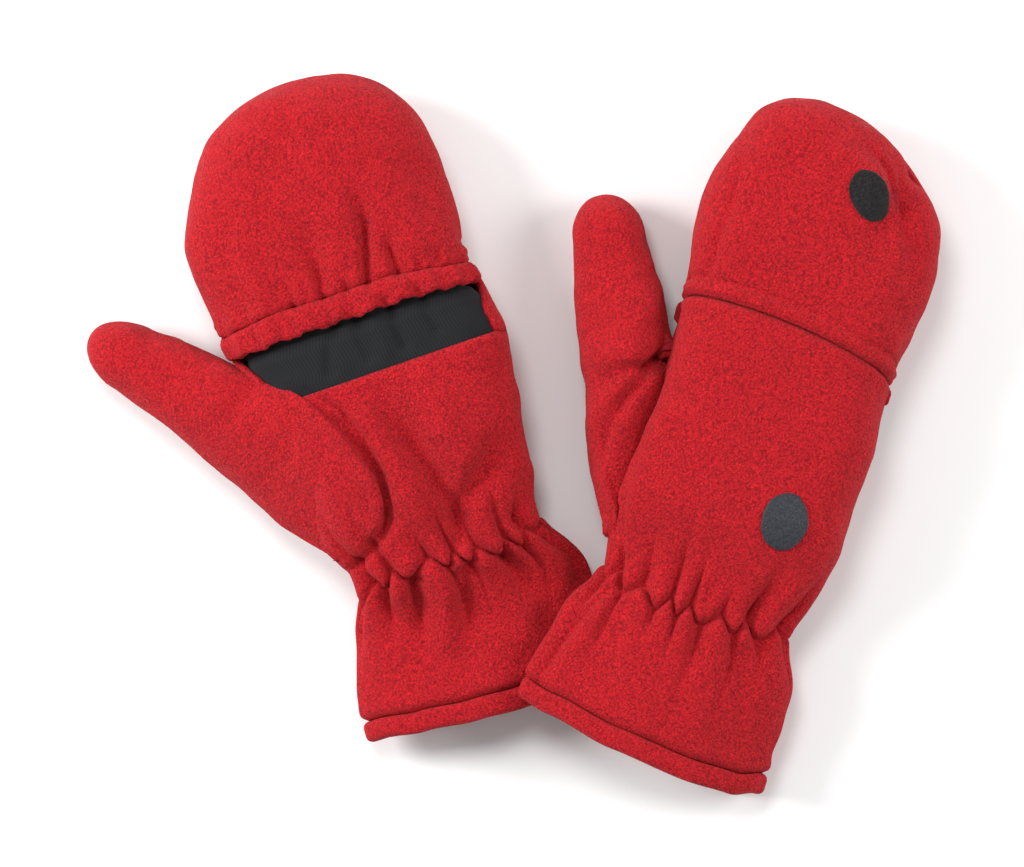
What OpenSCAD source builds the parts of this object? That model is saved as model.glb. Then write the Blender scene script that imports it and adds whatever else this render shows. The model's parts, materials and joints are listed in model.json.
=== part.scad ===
// Convertible flip-top mittens: a pair laid flat, the left one palm up, the right one palm down
// with one corner of its cuff resting on the left cuff.
// Each mitten is drawn in its own frame: u runs across it with the thumb towards -u, v runs from
// the wrist gather (v = 0) to the fingertips, and z is up. lay() then turns it into its place.
// Every ply of cloth is an inset of one outer surface, so the plies nest at any size.

/* [Lengths] */
// From the wrist gather to the edge of the cuff
cuff_length = 58; // [48:1:70]
// From the wrist gather to the knuckle seam that hinges the cap
hand_length = 107; // [89:1:129]
// Knit band left bare between the palm panel and the free edge of the cap
knit_show = 22; // [16:1:30]
// From the knuckle seam to the tip of the right cap
right_cap_length = 87; // [72:1:105]
// From the knuckle seam to the tip of the left cap
left_cap_length = 82; // [68:1:104]
// How far the free edge of a cap reaches back past the knuckle seam on the palm side
cap_overlap = 11; // [9:1:16]

/* [Widths] */
// Width of the right cuff
right_cuff_width = 100; // [83:1:120]
// Width of the left cuff
left_cuff_width = 99; // [82:1:119]
// Width at the gathered wrist
wrist_width = 74; // [61:1:89]
// Width of the right palm
right_palm_width = 87; // [72:1:105]
// Width of the left palm
left_palm_width = 93; // [77:1:112]
// Width of the right cap
right_cap_width = 93; // [77:1:112]
// Width of the left cap
left_cap_width = 101; // [84:1:122]

/* [Heights as laid] */
// Height of a stuffed hand and cap
hand_height = 46; // [38:1:56]
// Height of the top of the gathered wrist
wrist_height = 36; // [30:1:40]
// Height of the left cuff, which is pressed down
cuff_height = 26; // [21:1:32]
// How much higher the right cuff's top is, where its corner rides on the left cuff
cuff_ride = 12; // [9:1:15]

/* [Thumb] */
// Where the thumb seam starts above the wrist gather
thumb_start = 10; // [4:1:20]
// Where the thumb leaves the hand, below the knuckle seam
crotch_drop = 23; // [18:1:30]
// From the crotch to the round of the thumb tip
thumb_reach = 43; // [34:1:52]
// Width of the thumb near its tip
thumb_width = 28; // [23:1:34]
// Height of the thumb near its tip
thumb_height = 29; // [24:1:35]
// Lean of the right thumb from the mitten's long axis
right_thumb_lean = 26; // [20:1:45]
// Lean of the left thumb from the mitten's long axis
left_thumb_lean = 41; // [20:1:45]

/* [Finger stalls] */
// Length of the index stall past the knit band
index_length = 27; // [18:1:33]
// Length of the middle stall
middle_length = 31; // [18:1:38]
// Length of the ring stall
ring_length = 29; // [18:1:35]
// Length of the little stall
little_length = 23; // [16:1:30]

/* [Cloth] */
// Thickness of the fleece
fleece = 2.6; // [2:0.1:3]
// Thickness of the lining
lining_ply = 1; // [0.8:0.1:1.4]
// Thickness of the black rib knit
knit_ply = 1.2; // [1:0.1:1.6]
// Thickness of the elastic tapes
elastic_ply = 1; // [0.8:0.1:1.2]
// Room between plies
ply_gap = 0.4; // [0.3:0.1:0.6]
// Width of the folded band at the cuff edge
cuff_band = 8; // [6:1:12]
// Width of the wrist elastic
wrist_elastic_width = 10; // [6:1:14]
// Width of the casing along the free edge of a cap
cap_casing = 10; // [8:1:14]

/* [Closures] */
// Diameter of the hook and loop discs
disc_diameter = 22; // [16:1:27]
// Thickness of the discs
disc_ply = 1.5; // [1:0.1:2]
// Hook disc, across the back of the hand
hook_u = 20; // [5:1:26]
// Hook disc, above the wrist gather
hook_v = 40; // [30:1:60]
// Loop disc, across the cap
loop_u = 6; // [-8:1:14]
// Loop disc, from the tip of the cap
loop_from_tip = 28; // [22:1:44]

/* [Lay of the pair] */
// How far the two cuffs lap where they cross
cuff_lap = 5.7; // [0:0.1:6]
// Wrist of the right mitten, along
right_y = -64.6; // [-80:0.1:-40]
// Turn of the right mitten
right_turn = -21; // [-30:1:-10]
// Wrist of the left mitten, across
left_x = -25.2; // [-40:0.1:-20]
// Wrist of the left mitten, along
left_y = -46.7; // [-60:0.1:-30]
// Turn of the left mitten
left_turn = 19; // [10:1:30]

/* [Hidden] */
RIGHT = 0;
LEFT = 1;
RED = [0.78, 0.12, 0.18];
DARK_RED = [0.6, 0.07, 0.12];
BLACK = [0.15, 0.16, 0.17];
GREY = [0.3, 0.31, 0.34];
WHITE = [0.9, 0.9, 0.88];

// Fullness by which a section would swell past its flat rest, so it lies on a real face
swell = 2;
// Strips across half a section, and round a whole one
half_strips = 12;
ring_strips = 24;
// Room between hand and cap at the knuckle seam
seam_gap = 2;
// Length of the rounded end of a cap, and the power of its outline
round_length = [56, 52];
round_power = 2.2;
dome_power = 2.8;
// Sideways drift of the tip, right and left
tip_drift = [-13, 4];
// The thumb opening in the side of the hand, in degrees of the section
thumb_opening = 30;
// Depths under the outer surface, from the outside in
under_fleece = fleece + ply_gap;
under_elastic = under_fleece + knit_ply + ply_gap;
cap_casing_depth = 4.2;
// The knit band tucks this deep to clear the cap's casing
band_tuck = 8.6;

palm_length = hand_length - cap_overlap - knit_show;
thumb_crotch = hand_length - crotch_drop;
cap_length = [right_cap_length, left_cap_length];
cuff_width = [right_cuff_width, left_cuff_width];
palm_width = [right_palm_width, left_palm_width];
cap_width = [right_cap_width, left_cap_width];
cuff_top = [cuff_height + cuff_ride, cuff_height];
right_x = left_x + (left_cuff_width + right_cuff_width) / 2 - cuff_lap;
thumb_lean = [right_thumb_lean, left_thumb_lean];
stall_length = [index_length, middle_length, ring_length, little_length];

// ---- curves ----
function mix(a, b, f) = a + (b - a) * f;
function clamp(x, low, high) = min(max(x, low), high);
function ease(f) = f * f * (3 - 2 * f);
function power(x, e) = sign(x) * pow(abs(x), e);

// The value at v on a smooth curve through stations [v, value]
function along(stations, v, i = 0) =
    i >= len(stations) - 1 ? stations[i][1]
    : v <= stations[i + 1][0]
    ? mix(stations[i][1], stations[i + 1][1],
          ease(clamp((v - stations[i][0]) / (stations[i + 1][0] - stations[i][0]), 0, 1)))
    : along(stations, v, i + 1);

// ---- the outer surface of a mitten, section by section ----
function half_width(s, v) = along([
    [-cuff_length, cuff_width[s] / 2 - (s == LEFT ? 4 : 0)],
    [-cuff_length * 0.7, cuff_width[s] / 2],
    [-20, cuff_width[s] / 2 - 3],
    [0, wrist_width / 2],
    [22, palm_width[s] / 2 - 2],
    [hand_length - 25, palm_width[s] / 2],
    [hand_length, mix(palm_width[s], cap_width[s], 0.4) / 2],
    [hand_length + 28, cap_width[s] / 2]], v);

function middle(s, v) = along(s == RIGHT
    ? [[-cuff_length, -1], [-20, 0], [hand_length - 40, 0], [hand_length, -3], [hand_length + 30, -5]]
    : [[-cuff_length, -6], [-cuff_length * 0.7, 0], [-20, 3], [0, -0.5], [hand_length - 40, -1],
       [hand_length, -5], [hand_length + 30, -4.7]], v);

function low_height(v) =
    along([[-cuff_length, -swell], [-18, -swell], [0, 2], [16, -swell / 2], [34, -swell]], v);
function high_height(s, v) =
    along([[-cuff_length, cuff_top[s]], [-20, cuff_top[s]], [0, wrist_height],
           [46, hand_height + swell]], v);

// Heights of the two side seams, and how boxy the section is on each side: the right cuff rides
// up over the left one, which is pressed flat under it
function left_seam(s, v) =
    along([[-cuff_length, s == RIGHT ? cuff_height + 5 : cuff_height / 2],
           [-24, s == RIGHT ? cuff_height + 2 : cuff_height / 2 + 1], [0, 19],
           [30, hand_height / 2]], v);
function right_seam(s, v) =
    along([[-cuff_length, s == RIGHT ? 14 : 4], [-24, s == RIGHT ? 15 : 5], [4, s == RIGHT ? 19 : 16],
           [32, hand_height / 2]], v);
function left_power(s, v) = along([[-24, s == RIGHT ? 1.4 : 2.1], [0, 2.2], [34, 2.7]], v);
function right_power(s, v) = along([[-24, s == RIGHT ? 2.1 : 1.5], [0, 2.2], [34, 2.7]], v);

// A section at v, inset by d: middle, half width, seam heights, low, high, powers, inset
function section(s, v, d) =
    let (start = hand_length + cap_length[s] - round_length[s],
         f = clamp((v - start) / (round_length[s] - d), 0, 1),
         across = pow(1 - pow(f, round_power), 1 / round_power),
         up = pow(1 - pow(f, dome_power), 1 / dome_power),
         edge = 2.5 / min(left_power(s, v), right_power(s, v), 2.5),
         seams = [left_seam(s, v), right_seam(s, v)],
         centre = (seams[0] + seams[1]) / 2,
         low = low_height(v) + d,
         high = high_height(s, v) - d)
    [middle(s, v) + tip_drift[s] * f * f,
     (half_width(s, v) - d * edge) * across,
     seams[0],
     seams[1],
     (centre - low) * up,
     (high - centre) * up,
     left_power(s, v),
     right_power(s, v),
     d];

// A point of a section at angle t, from +u over the top
function on_section(q, v, t) =
    let (e = 2 / (cos(t) < 0 ? q[6] : q[7]),
         c = power(cos(t), e),
         h = power(sin(t), e),
         z = mix(q[3], q[2], (1 - c) / 2) + h * (h < 0 ? q[4] : q[5]))
    [q[0] + q[1] * c, v, clamp(z, q[8], hand_height - q[8])];

function arc_ring(s, v, d, t0, t1, n) =
    let (q = section(s, v, d)) [for (j = [0:n]) on_section(q, v, mix(t0, t1, j / n))];
function full_ring(s, v, d) =
    let (q = section(s, v, d)) [for (j = [0:ring_strips - 1]) on_section(q, v, 360 * j / ring_strips)];

// Where the side of the hand is, thumb side, at height z
function side_u(s, v, z) =
    let (q = section(s, v, 0),
         reach = z < q[2] ? q[4] : q[5],
         f = clamp(abs(z - q[2]) / reach, 0, 0.98))
    q[0] - q[1] * pow(1 - pow(f, q[6]), 1 / q[6]);

// Height of the back of the mitten over (u, v), and the cloth's slope there
function back_height(s, u, v) =
    let (q = section(s, v, 0),
         x = clamp((u - q[0]) / q[1], -0.99, 0.99),
         n = x < 0 ? q[6] : q[7],
         h = pow(1 - pow(abs(x), n), 1 / n),
         seam = mix(q[3], q[2], (1 - x) / 2))
    clamp(back_is_up(s) ? seam + h * q[5] : seam - h * q[4], 0, hand_height);
function back_tilt(s, u, v, r) =
    [atan((back_height(s, u, v + r) - back_height(s, u, v - r)) / (2 * r)),
     -atan((back_height(s, u + r, v) - back_height(s, u - r, v)) / (2 * r))];

// How far the thumb opening cuts into a half section at v
function opening(v) =
    let (centre = (thumb_start + palm_length) / 2, reach = (palm_length - thumb_start) / 2 - 3)
    thumb_opening * sqrt(max(0, 1 - pow((v - centre) / reach, 2)));

// The half of the section that is the back of the hand is up on the right mitten, down on the left
function back_is_up(s) = s == RIGHT;
function half_from(upper, cut) = upper ? 0 : cut - 180;
function half_to(upper, cut) = upper ? 180 - cut : 0;

// Stations from a to b, and the closer ones round the end of a cap
function steps(a, b, n) = [for (i = [0:n]) mix(a, b, i / n)];
function tip_steps(s, from, d, n) =
    let (start = hand_length + cap_length[s] - round_length[s])
    concat(steps(from, start, 3),
           [for (i = [1:n]) start + (round_length[s] - d) * sin(88 * i / n)]);

// ---- solids ----
// A sheet of cloth between two surfaces given as matching rings of points
module sheet(outer, inner, closed = false, tip = false) {
    rows = len(outer);
    n = len(outer[0]);
    strips = closed ? n : n - 1;
    function o(i, j) = i * n + j % n;
    function q(i, j) = (rows + i) * n + j % n;
    last = rows - 1;
    surfaces = [for (i = [0:rows - 2], j = [0:strips - 1]) each [
        [o(i, j), o(i, j + 1), o(i + 1, j + 1)],
        [o(i, j), o(i + 1, j + 1), o(i + 1, j)],
        [q(i, j), q(i + 1, j + 1), q(i, j + 1)],
        [q(i, j), q(i + 1, j), q(i + 1, j + 1)]]];
    start_edge = [for (j = [0:strips - 1]) each [
        [o(0, j), q(0, j), q(0, j + 1)],
        [o(0, j), q(0, j + 1), o(0, j + 1)]]];
    end_edge = [for (j = [0:strips - 1]) each [
        [o(last, j), q(last, j + 1), q(last, j)],
        [o(last, j), o(last, j + 1), q(last, j + 1)]]];
    end_caps = [for (j = [1:n - 2]) each [
        [o(last, 0), o(last, j), o(last, j + 1)],
        [q(last, 0), q(last, j + 1), q(last, j)]]];
    side_edges = [for (i = [0:rows - 2]) each [
        [o(i, 0), o(i + 1, 0), q(i + 1, 0)],
        [o(i, 0), q(i + 1, 0), q(i, 0)],
        [o(i, n - 1), q(i + 1, n - 1), o(i + 1, n - 1)],
        [o(i, n - 1), q(i, n - 1), q(i + 1, n - 1)]]];
    polyhedron(
        points = concat([for (r = outer) each r], [for (r = inner) each r]),
        faces = concat(surfaces, start_edge, tip ? end_caps : end_edge, closed ? [] : side_edges),
        convexity = 8);
}

// One half of the hand's surface between depths d0 and d1, with the thumb opening in it
module hand_half(s, upper, v_list, d0, d1) {
    function ring(v, d) =
        arc_ring(s, v, d, half_from(upper, opening(v)), half_to(upper, opening(v)), half_strips);
    sheet([for (v = v_list) ring(v, d0)], [for (v = v_list) ring(v, d1)]);
}

// One half of a cap, rounded at the tip
module cap_half(s, upper, from, d0, d1) {
    function rings(d) =
        [for (v = tip_steps(s, from, d, 6))
            arc_ring(s, v, d, half_from(upper, 0), half_to(upper, 0), half_strips)];
    sheet(rings(d0), rings(d1));
}

// A tube of cloth right round the hand, given as [v, depth] stations
module hand_tube(s, stations, ply) {
    sheet([for (p = stations) full_ring(s, p[0], p[1])],
          [for (p = stations) full_ring(s, p[0], p[1] + ply)], closed = true);
}

// A disc let into the back of the mitten, lying along the cloth
module disc(s, u, v, r, ply) {
    reach = disc_diameter / 2;
    tilt = back_tilt(s, u, v, reach);
    around = [[reach, 0], [-reach, 0], [0, reach], [0, -reach]];
    sides = [for (p = around) back_height(s, u + p[0], v + p[1])];
    mean = (sides[0] + sides[1] + sides[2] + sides[3]) / 4;
    rise = norm([sides[0] - sides[1], sides[2] - sides[3]]) / 2;
    level = clamp(mean, back_is_up(s) ? 0 : rise, hand_height - (back_is_up(s) ? rise : 0));
    translate([u, v, level])
        rotate([tilt[0], tilt[1], 0])
            translate([0, 0, back_is_up(s) ? -ply : 0])
                cylinder(h = ply, r = r, $fn = 96);
}

module lay(s) {
    translate([s == RIGHT ? right_x : left_x, s == RIGHT ? right_y : left_y, 0])
        rotate([0, 0, s == RIGHT ? right_turn : left_turn])
            children();
}

// ---- hand ----
hand_from = -cuff_length + cuff_band + ply_gap;

module back_panel(s) {
    color(RED) lay(s) difference() {
        hand_half(s, back_is_up(s),
                  concat(steps(hand_from, -8, 4), [-4, 0, 4], steps(9, palm_length, 8),
                         steps(palm_length + 10, hand_length - seam_gap / 2, 2)), 0, fleece);
        disc(s, hook_u, hook_v, disc_diameter / 2 + ply_gap, disc_ply);
    }
}

module palm_panel(s) {
    color(RED) lay(s)
        hand_half(s, !back_is_up(s),
                  concat(steps(hand_from, -8, 4), [-4, 0, 4], steps(9, palm_length, 8)), 0, fleece);
}

module cuff_band_ring(s) {
    depth = under_elastic + lining_ply;
    edge = -cuff_length;
    outer = [[edge, depth / 3], [edge + 1.5, 0], [edge + cuff_band, 0]];
    inner = [[edge, depth * 2 / 3], [edge + 1.5, depth], [edge + cuff_band, depth]];
    color(RED) lay(s) sheet([for (p = outer) full_ring(s, p[0], p[1])],
                            [for (p = inner) full_ring(s, p[0], p[1])], closed = true);
}

module wrist_elastic(s) {
    half = wrist_elastic_width / 2;
    color(WHITE) lay(s) hand_tube(s, [for (v = steps(-half, half, 2)) [v, under_fleece]], elastic_ply);
}

band_end = hand_length - 7;
lining_end = mix(palm_length, band_end, 0.35);
// The lining closes at a slit under the thumb-side seam, and opens for the thumb
module hand_lining(s) {
    slit = 1.5;
    v_list = concat([hand_from], steps(-30, 12, 6), steps(20, palm_length, 4), [lining_end]);
    strips = 20;
    function ring(v, d) =
        let (cut = max(slit, opening(v))) arc_ring(s, v, d, cut - 180, 180 - cut, strips);
    color(DARK_RED) lay(s) sheet([for (v = v_list) ring(v, under_elastic)],
                                 [for (v = v_list) ring(v, under_elastic + lining_ply)]);
}

module knit_band(s) {
    color(BLACK) lay(s) hand_tube(s, [
        [palm_length - 3, under_fleece],
        [lining_end, under_fleece],
        [mix(palm_length, band_end, 0.58), under_fleece + 2],
        [mix(palm_length, band_end, 0.81), band_tuck - 0.8],
        [band_end, band_tuck]], knit_ply);
}

// The black cloth that closes the step between the back panel and the knit band
module knuckle_binding(s) {
    // It stops short of the side seams by this angle
    margin = 52;
    from = back_is_up(s) ? margin : margin - 180;
    to = from + 180 - 2 * margin;
    v_list = [band_end + ply_gap, hand_length - seam_gap / 2];
    color(BLACK) lay(s) sheet([for (v = v_list) arc_ring(s, v, under_fleece, from, to, half_strips)],
                              [for (v = v_list) arc_ring(s, v, band_tuck, from, to, half_strips)]);
}

// ---- finger stalls: index is next to the thumb ----
// A stall keeps within this radius of the knuckle seam, so the cap's free edge passes over it
stall_radius = hand_height - cap_casing_depth - 3.5;
module stall(s, finger) {
    q = section(s, band_end, band_tuck);
    pitch = 2 * q[1] / 4;
    u0 = q[0] - q[1] + pitch * (finger + 0.5);
    near = band_tuck + 1;
    length = stall_length[finger];
    taper = 0.1;
    function far_side(v) =
        min(hand_height - band_tuck, sqrt(pow(stall_radius, 2) - pow(v - hand_length, 2)));
    function ring(f, d) =
        let (v = band_end + ply_gap + length * f,
             far = far_side(v),
             centre = (near + far) / 2,
             rise = (far - near) / 2 - d,
             run = (pitch - ply_gap) / 2 * (1 - taper * f) - d)
        [for (j = [0:15]) let (t = 360 * j / 16)
            [u0 + run * power(cos(t), 0.75), v,
             (back_is_up(s) ? hand_height - centre : centre) + rise * power(sin(t), 0.75)]];
    color(BLACK) lay(s) sheet([for (f = [0, 0.4, 0.75, 1]) ring(f, 0)],
                              [for (f = [0, 0.4, 0.75, 1]) ring(f, knit_ply)], closed = true);
}

// ---- thumb ----
// Rings fan out from the seam on the side of the hand to the tube of the thumb
thumb_points = 16;
module thumb_tube(s, d0, d1, from = 0) {
    lean = thumb_lean[s];
    along_thumb = [-sin(lean), cos(lean)];
    base_z = 21;
    base_half = 16.5;
    out0 = [side_u(s, thumb_start, base_z) - 2, thumb_start];
    in0 = [side_u(s, thumb_crotch, base_z) - 1, thumb_crotch];
    in1 = in0 + thumb_reach * along_thumb;
    out1 = in1 + thumb_width * [-cos(lean), -sin(lean)];
    tip_length = thumb_width * 0.6;
    function flat_ring(f, d, grow, ahead) =
        let (a = mix(out0, out1, f),
             b = mix(in0, in1, f),
             run = norm(b - a) / 2,
             dir = (b - a) / (2 * run),
             high = mix(base_z + base_half, thumb_height, pow(f, 0.7)),
             low = mix(base_z - base_half, -1, pow(f, 0.7)),
             centre = (high + low) / 2,
             mid = (a + b) / 2 + along_thumb * ahead)
        [for (j = [0:thumb_points - 1]) let (t = 360 * j / thumb_points)
            let (p = mid + dir * (run - d) * grow * power(cos(t), 0.9),
                 z = centre + ((high - low) / 2 - d) * grow * power(sin(t), 0.9))
            [p[0], p[1], max(z, d)]];
    function seam_ring(d) =
        [for (p = flat_ring(0, d, 1, 0)) [side_u(s, p[1], p[2]) - ply_gap, p[1], p[2]]];
    function rings(d) = concat(
        [from == 0 ? seam_ring(d) : flat_ring(from, d, 1, 0)],
        [for (f = [1:5]) flat_ring(from + (1 - from) * f / 5, d, 1, 0)],
        [for (a = [30, 55, 75, 87]) flat_ring(1, d, cos(a), (tip_length - d) * sin(a))]);
    sheet(rings(d0), rings(d1), closed = true, tip = true);
}

module thumb_sheath(s) {
    color(RED) lay(s) thumb_tube(s, 0, fleece);
}

module thumb_lining(s) {
    color(DARK_RED) lay(s) thumb_tube(s, under_fleece, under_fleece + lining_ply, 0.2);
}

// ---- cap ----
cap_from = hand_length + seam_gap / 2;
casing_from = hand_length - cap_overlap;
casing_to = casing_from + cap_casing;
// The casing stops short of the side seams by this angle
casing_margin = 4;

module cap_back_panel(s) {
    color(RED) lay(s) difference() {
        cap_half(s, back_is_up(s), cap_from, 0, fleece);
        disc(s, loop_u, hand_length + cap_length[s] - loop_from_tip, disc_diameter / 2 + ply_gap, disc_ply);
    }
}

module cap_palm_panel(s) {
    color(RED) lay(s) cap_half(s, !back_is_up(s), casing_to + ply_gap, 0, fleece);
}

// Stations [v, depth] swept over the palm side, short of the side seams
module casing_sweep(s, outside, inside) {
    up = !back_is_up(s);
    from = up ? casing_margin : casing_margin - 180;
    to = up ? 180 - casing_margin : -casing_margin;
    lay(s) sheet([for (p = outside) arc_ring(s, p[0], p[1], from, to, half_strips)],
                 [for (p = inside) arc_ring(s, p[0], p[1], from, to, half_strips)]);
}

// The free edge folded back on itself, with a tunnel for the elastic
module cap_casing_fold(s) {
    ply = 1.3;
    deep = cap_casing_depth;
    color(RED) casing_sweep(s,
        [[casing_to, deep], [casing_from + 2.5, deep], [casing_from + 0.6, deep - 0.7],
         [casing_from, deep / 2], [casing_from + 0.6, 0.7], [casing_from + 2.5, 0], [casing_to, 0]],
        [[casing_to, deep - ply], [casing_from + 3, deep - ply], [casing_from + 2.2, deep - ply - 0.3],
         [casing_from + 1.6, deep / 2], [casing_from + 2.2, ply + 0.3], [casing_from + 3, ply],
         [casing_to, ply]]);
}

module cap_elastic(s) {
    ply = 0.8;
    depth = (cap_casing_depth - ply) / 2;
    color(WHITE) casing_sweep(s,
        [[casing_from + 3.5, depth], [casing_to - 0.5, depth]],
        [[casing_from + 3.5, depth + ply], [casing_to - 0.5, depth + ply]]);
}

module cap_lining(s) {
    function rings(d) = [for (v = tip_steps(s, cap_from, d, 5)) full_ring(s, v, d)];
    color(DARK_RED) lay(s)
        sheet(rings(under_fleece), rings(under_fleece + lining_ply), closed = true, tip = true);
}

module hook_disc(s) {
    color(GREY) lay(s) disc(s, hook_u, hook_v, disc_diameter / 2, disc_ply - 0.1);
}

module loop_disc(s) {
    color(BLACK) lay(s)
        disc(s, loop_u, hand_length + cap_length[s] - loop_from_tip, disc_diameter / 2, disc_ply - 0.1);
}

back_panel(RIGHT);  // right_back_panel
palm_panel(RIGHT);  // right_palm_panel
cuff_band_ring(RIGHT);  // right_cuff_band
wrist_elastic(RIGHT);  // right_wrist_elastic
hand_lining(RIGHT);  // right_hand_lining
knit_band(RIGHT);  // right_knit_band
stall(RIGHT, 0);  // right_index_stall
stall(RIGHT, 1);  // right_middle_stall
stall(RIGHT, 2);  // right_ring_stall
stall(RIGHT, 3);  // right_little_stall
knuckle_binding(RIGHT);  // right_knuckle_binding
thumb_sheath(RIGHT);  // right_thumb_sheath
thumb_lining(RIGHT);  // right_thumb_lining
hook_disc(RIGHT);  // right_hook_disc
cap_back_panel(RIGHT);  // right_cap_back_panel
cap_palm_panel(RIGHT);  // right_cap_palm_panel
cap_casing_fold(RIGHT);  // right_cap_casing
cap_elastic(RIGHT);  // right_cap_elastic
cap_lining(RIGHT);  // right_cap_lining
loop_disc(RIGHT);  // right_loop_disc
back_panel(LEFT);  // left_back_panel
palm_panel(LEFT);  // left_palm_panel
cuff_band_ring(LEFT);  // left_cuff_band
wrist_elastic(LEFT);  // left_wrist_elastic
hand_lining(LEFT);  // left_hand_lining
knit_band(LEFT);  // left_knit_band
stall(LEFT, 0);  // left_index_stall
stall(LEFT, 1);  // left_middle_stall
stall(LEFT, 2);  // left_ring_stall
stall(LEFT, 3);  // left_little_stall
knuckle_binding(LEFT);  // left_knuckle_binding
thumb_sheath(LEFT);  // left_thumb_sheath
thumb_lining(LEFT);  // left_thumb_lining
hook_disc(LEFT);  // left_hook_disc
cap_back_panel(LEFT);  // left_cap_back_panel
cap_palm_panel(LEFT);  // left_cap_palm_panel
cap_casing_fold(LEFT);  // left_cap_casing
cap_elastic(LEFT);  // left_cap_elastic
cap_lining(LEFT);  // left_cap_lining
loop_disc(LEFT);  // left_loop_disc
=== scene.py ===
# %% Load the frame
import contextlib
import json
import math

import bpy
import numpy as np
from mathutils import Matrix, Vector


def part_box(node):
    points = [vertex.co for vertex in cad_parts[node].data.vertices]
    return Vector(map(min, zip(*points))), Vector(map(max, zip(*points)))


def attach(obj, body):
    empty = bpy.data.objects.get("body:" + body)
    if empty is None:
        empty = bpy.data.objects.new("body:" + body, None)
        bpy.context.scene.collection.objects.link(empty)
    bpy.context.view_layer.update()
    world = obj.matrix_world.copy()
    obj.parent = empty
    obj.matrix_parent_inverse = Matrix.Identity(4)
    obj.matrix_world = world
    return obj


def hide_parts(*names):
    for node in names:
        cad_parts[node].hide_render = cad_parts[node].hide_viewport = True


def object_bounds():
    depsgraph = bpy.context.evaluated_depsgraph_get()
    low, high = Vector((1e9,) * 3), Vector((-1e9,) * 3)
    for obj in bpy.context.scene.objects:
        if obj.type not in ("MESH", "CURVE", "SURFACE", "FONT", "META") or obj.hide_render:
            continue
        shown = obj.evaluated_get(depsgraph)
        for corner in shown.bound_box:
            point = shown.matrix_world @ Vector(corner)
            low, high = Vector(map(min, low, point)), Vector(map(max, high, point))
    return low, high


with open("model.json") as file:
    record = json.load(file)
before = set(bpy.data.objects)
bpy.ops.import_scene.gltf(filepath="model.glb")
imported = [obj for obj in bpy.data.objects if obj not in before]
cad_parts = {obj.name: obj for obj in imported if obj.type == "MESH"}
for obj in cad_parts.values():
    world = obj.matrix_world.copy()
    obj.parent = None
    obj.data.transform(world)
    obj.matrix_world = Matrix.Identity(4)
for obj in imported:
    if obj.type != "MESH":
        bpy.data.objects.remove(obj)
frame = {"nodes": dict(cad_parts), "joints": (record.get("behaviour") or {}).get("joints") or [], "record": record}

cad_box = [list(c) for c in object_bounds()]
print("CAD box in metres:", cad_box)

# %% [markdown]
# A pair of convertible mittens. Each is a fleece hand with a black knit band across the palm, four
# short knit stalls for the fingers, and a cap that folds back over the knuckles and is held open by
# a hook disc and a loop disc. Cloth like this is cut flat and sewn, so each piece starts here as a
# flat grid and is wrapped over the form of the stuffed mitten. A voxel remesh with a pressure
# simulation would also swell the form, but it erases the seams, hems and wrist gathers that make a
# mitten look sewn, so the fullness is in the form and the folds are moved in afterwards.

# %% Bodies, and the mittens' own axes
MM = 0.001
for o in bpy.context.selected_objects:
    o.select_set(False)
record = frame["record"]
joints = {j["name"]: j for j in frame["joints"]}
mounts = {m["name"]: m for m in record["mounts"]}


def node_points(node):
    o = frame["nodes"][node]
    return np.array([v.co for v in o.data.vertices], float).reshape(-1, 3) / MM


CAP_LINING_TO_TOP = 3.0
HINGE_TO_MIDDLE = {"right": 3, "left": 5}


class Mitten:
    """One mitten's own axes: u across with the thumb at -u, v along, z up, in millimetres."""

    def __init__(self, side):
        self.side = side
        self.right = side == "right"
        hinge = joints[side + "_cap_flip"]
        self.p = np.array(hinge["axis"]) * (1 if self.right else -1)
        self.a = np.array([-self.p[1], self.p[0], 0.0])
        # v = 0 is the middle of the wrist elastic, and u = 0 is HINGE_TO_MIDDLE past the hinge
        self.origin = np.array(mounts[side + "_wrist_opening"]["pos_m"]) / MM
        self.origin[2] = 0
        self.origin = self.origin + self.a * sum(self.reach("wrist_elastic")) / 2
        hinge_u = self.local(np.array([hinge["pos_m"]]) / MM)[0, 0]
        self.origin = self.origin + self.p * (hinge_u + HINGE_TO_MIDDLE[side])
        self.knuckle = self.local(np.array([hinge["pos_m"]]) / MM)[0, 1]
        self.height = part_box(side + "_cap_lining")[1].z / MM + CAP_LINING_TO_TOP
        self.cuff = self.reach("cuff_band")[0]
        self.palm_end = self.reach("palm_panel")[1]
        self.casing = self.reach("cap_casing")
        self.tip = self.reach("cap_back_panel")[1]

    def local(self, points):
        d = points - self.origin
        return np.stack([d @ self.p, d @ self.a, d[:, 2]], 1)

    def world(self, points):
        flat = points.reshape(-1, 3)
        return self.origin + flat[:, :1] * self.p + flat[:, 1:2] * self.a + flat[:, 2:] * [0, 0, 1]

    def reach(self, node):
        v = self.local(node_points(f"{self.side}_{node}"))[:, 1]
        return v.min(), v.max()


mittens = [Mitten("right"), Mitten("left")]
for m in mittens:
    print(m.side, "cuff", round(m.cuff, 1), "knuckle", round(m.knuckle, 1), "tip", round(m.tip, 1),
          "palm ends", round(m.palm_end, 1), "casing", [round(x, 1) for x in m.casing])

# %% [markdown]
# The form of a stuffed mitten is a row of rounded cross-sections. Each has a width, a lowest and a
# highest point, and a side seam on each side, and the values run smoothly from the cuff to the
# tip. It could be sculpted freehand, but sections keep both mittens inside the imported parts.

# %% The form, section by section


def along(stations, v):
    xs, ys = (np.array(c, float) for c in zip(*stations))
    i = np.clip(np.searchsorted(xs, v) - 1, 0, len(xs) - 2)
    f = np.clip((v - xs[i]) / (xs[i + 1] - xs[i]), 0, 1)
    return ys[i] + (ys[i + 1] - ys[i]) * f * f * (3 - 2 * f)


def soft_min(x, limit, r=1.2):
    return limit - r * np.logaddexp(0, (limit - x) / r)


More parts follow.
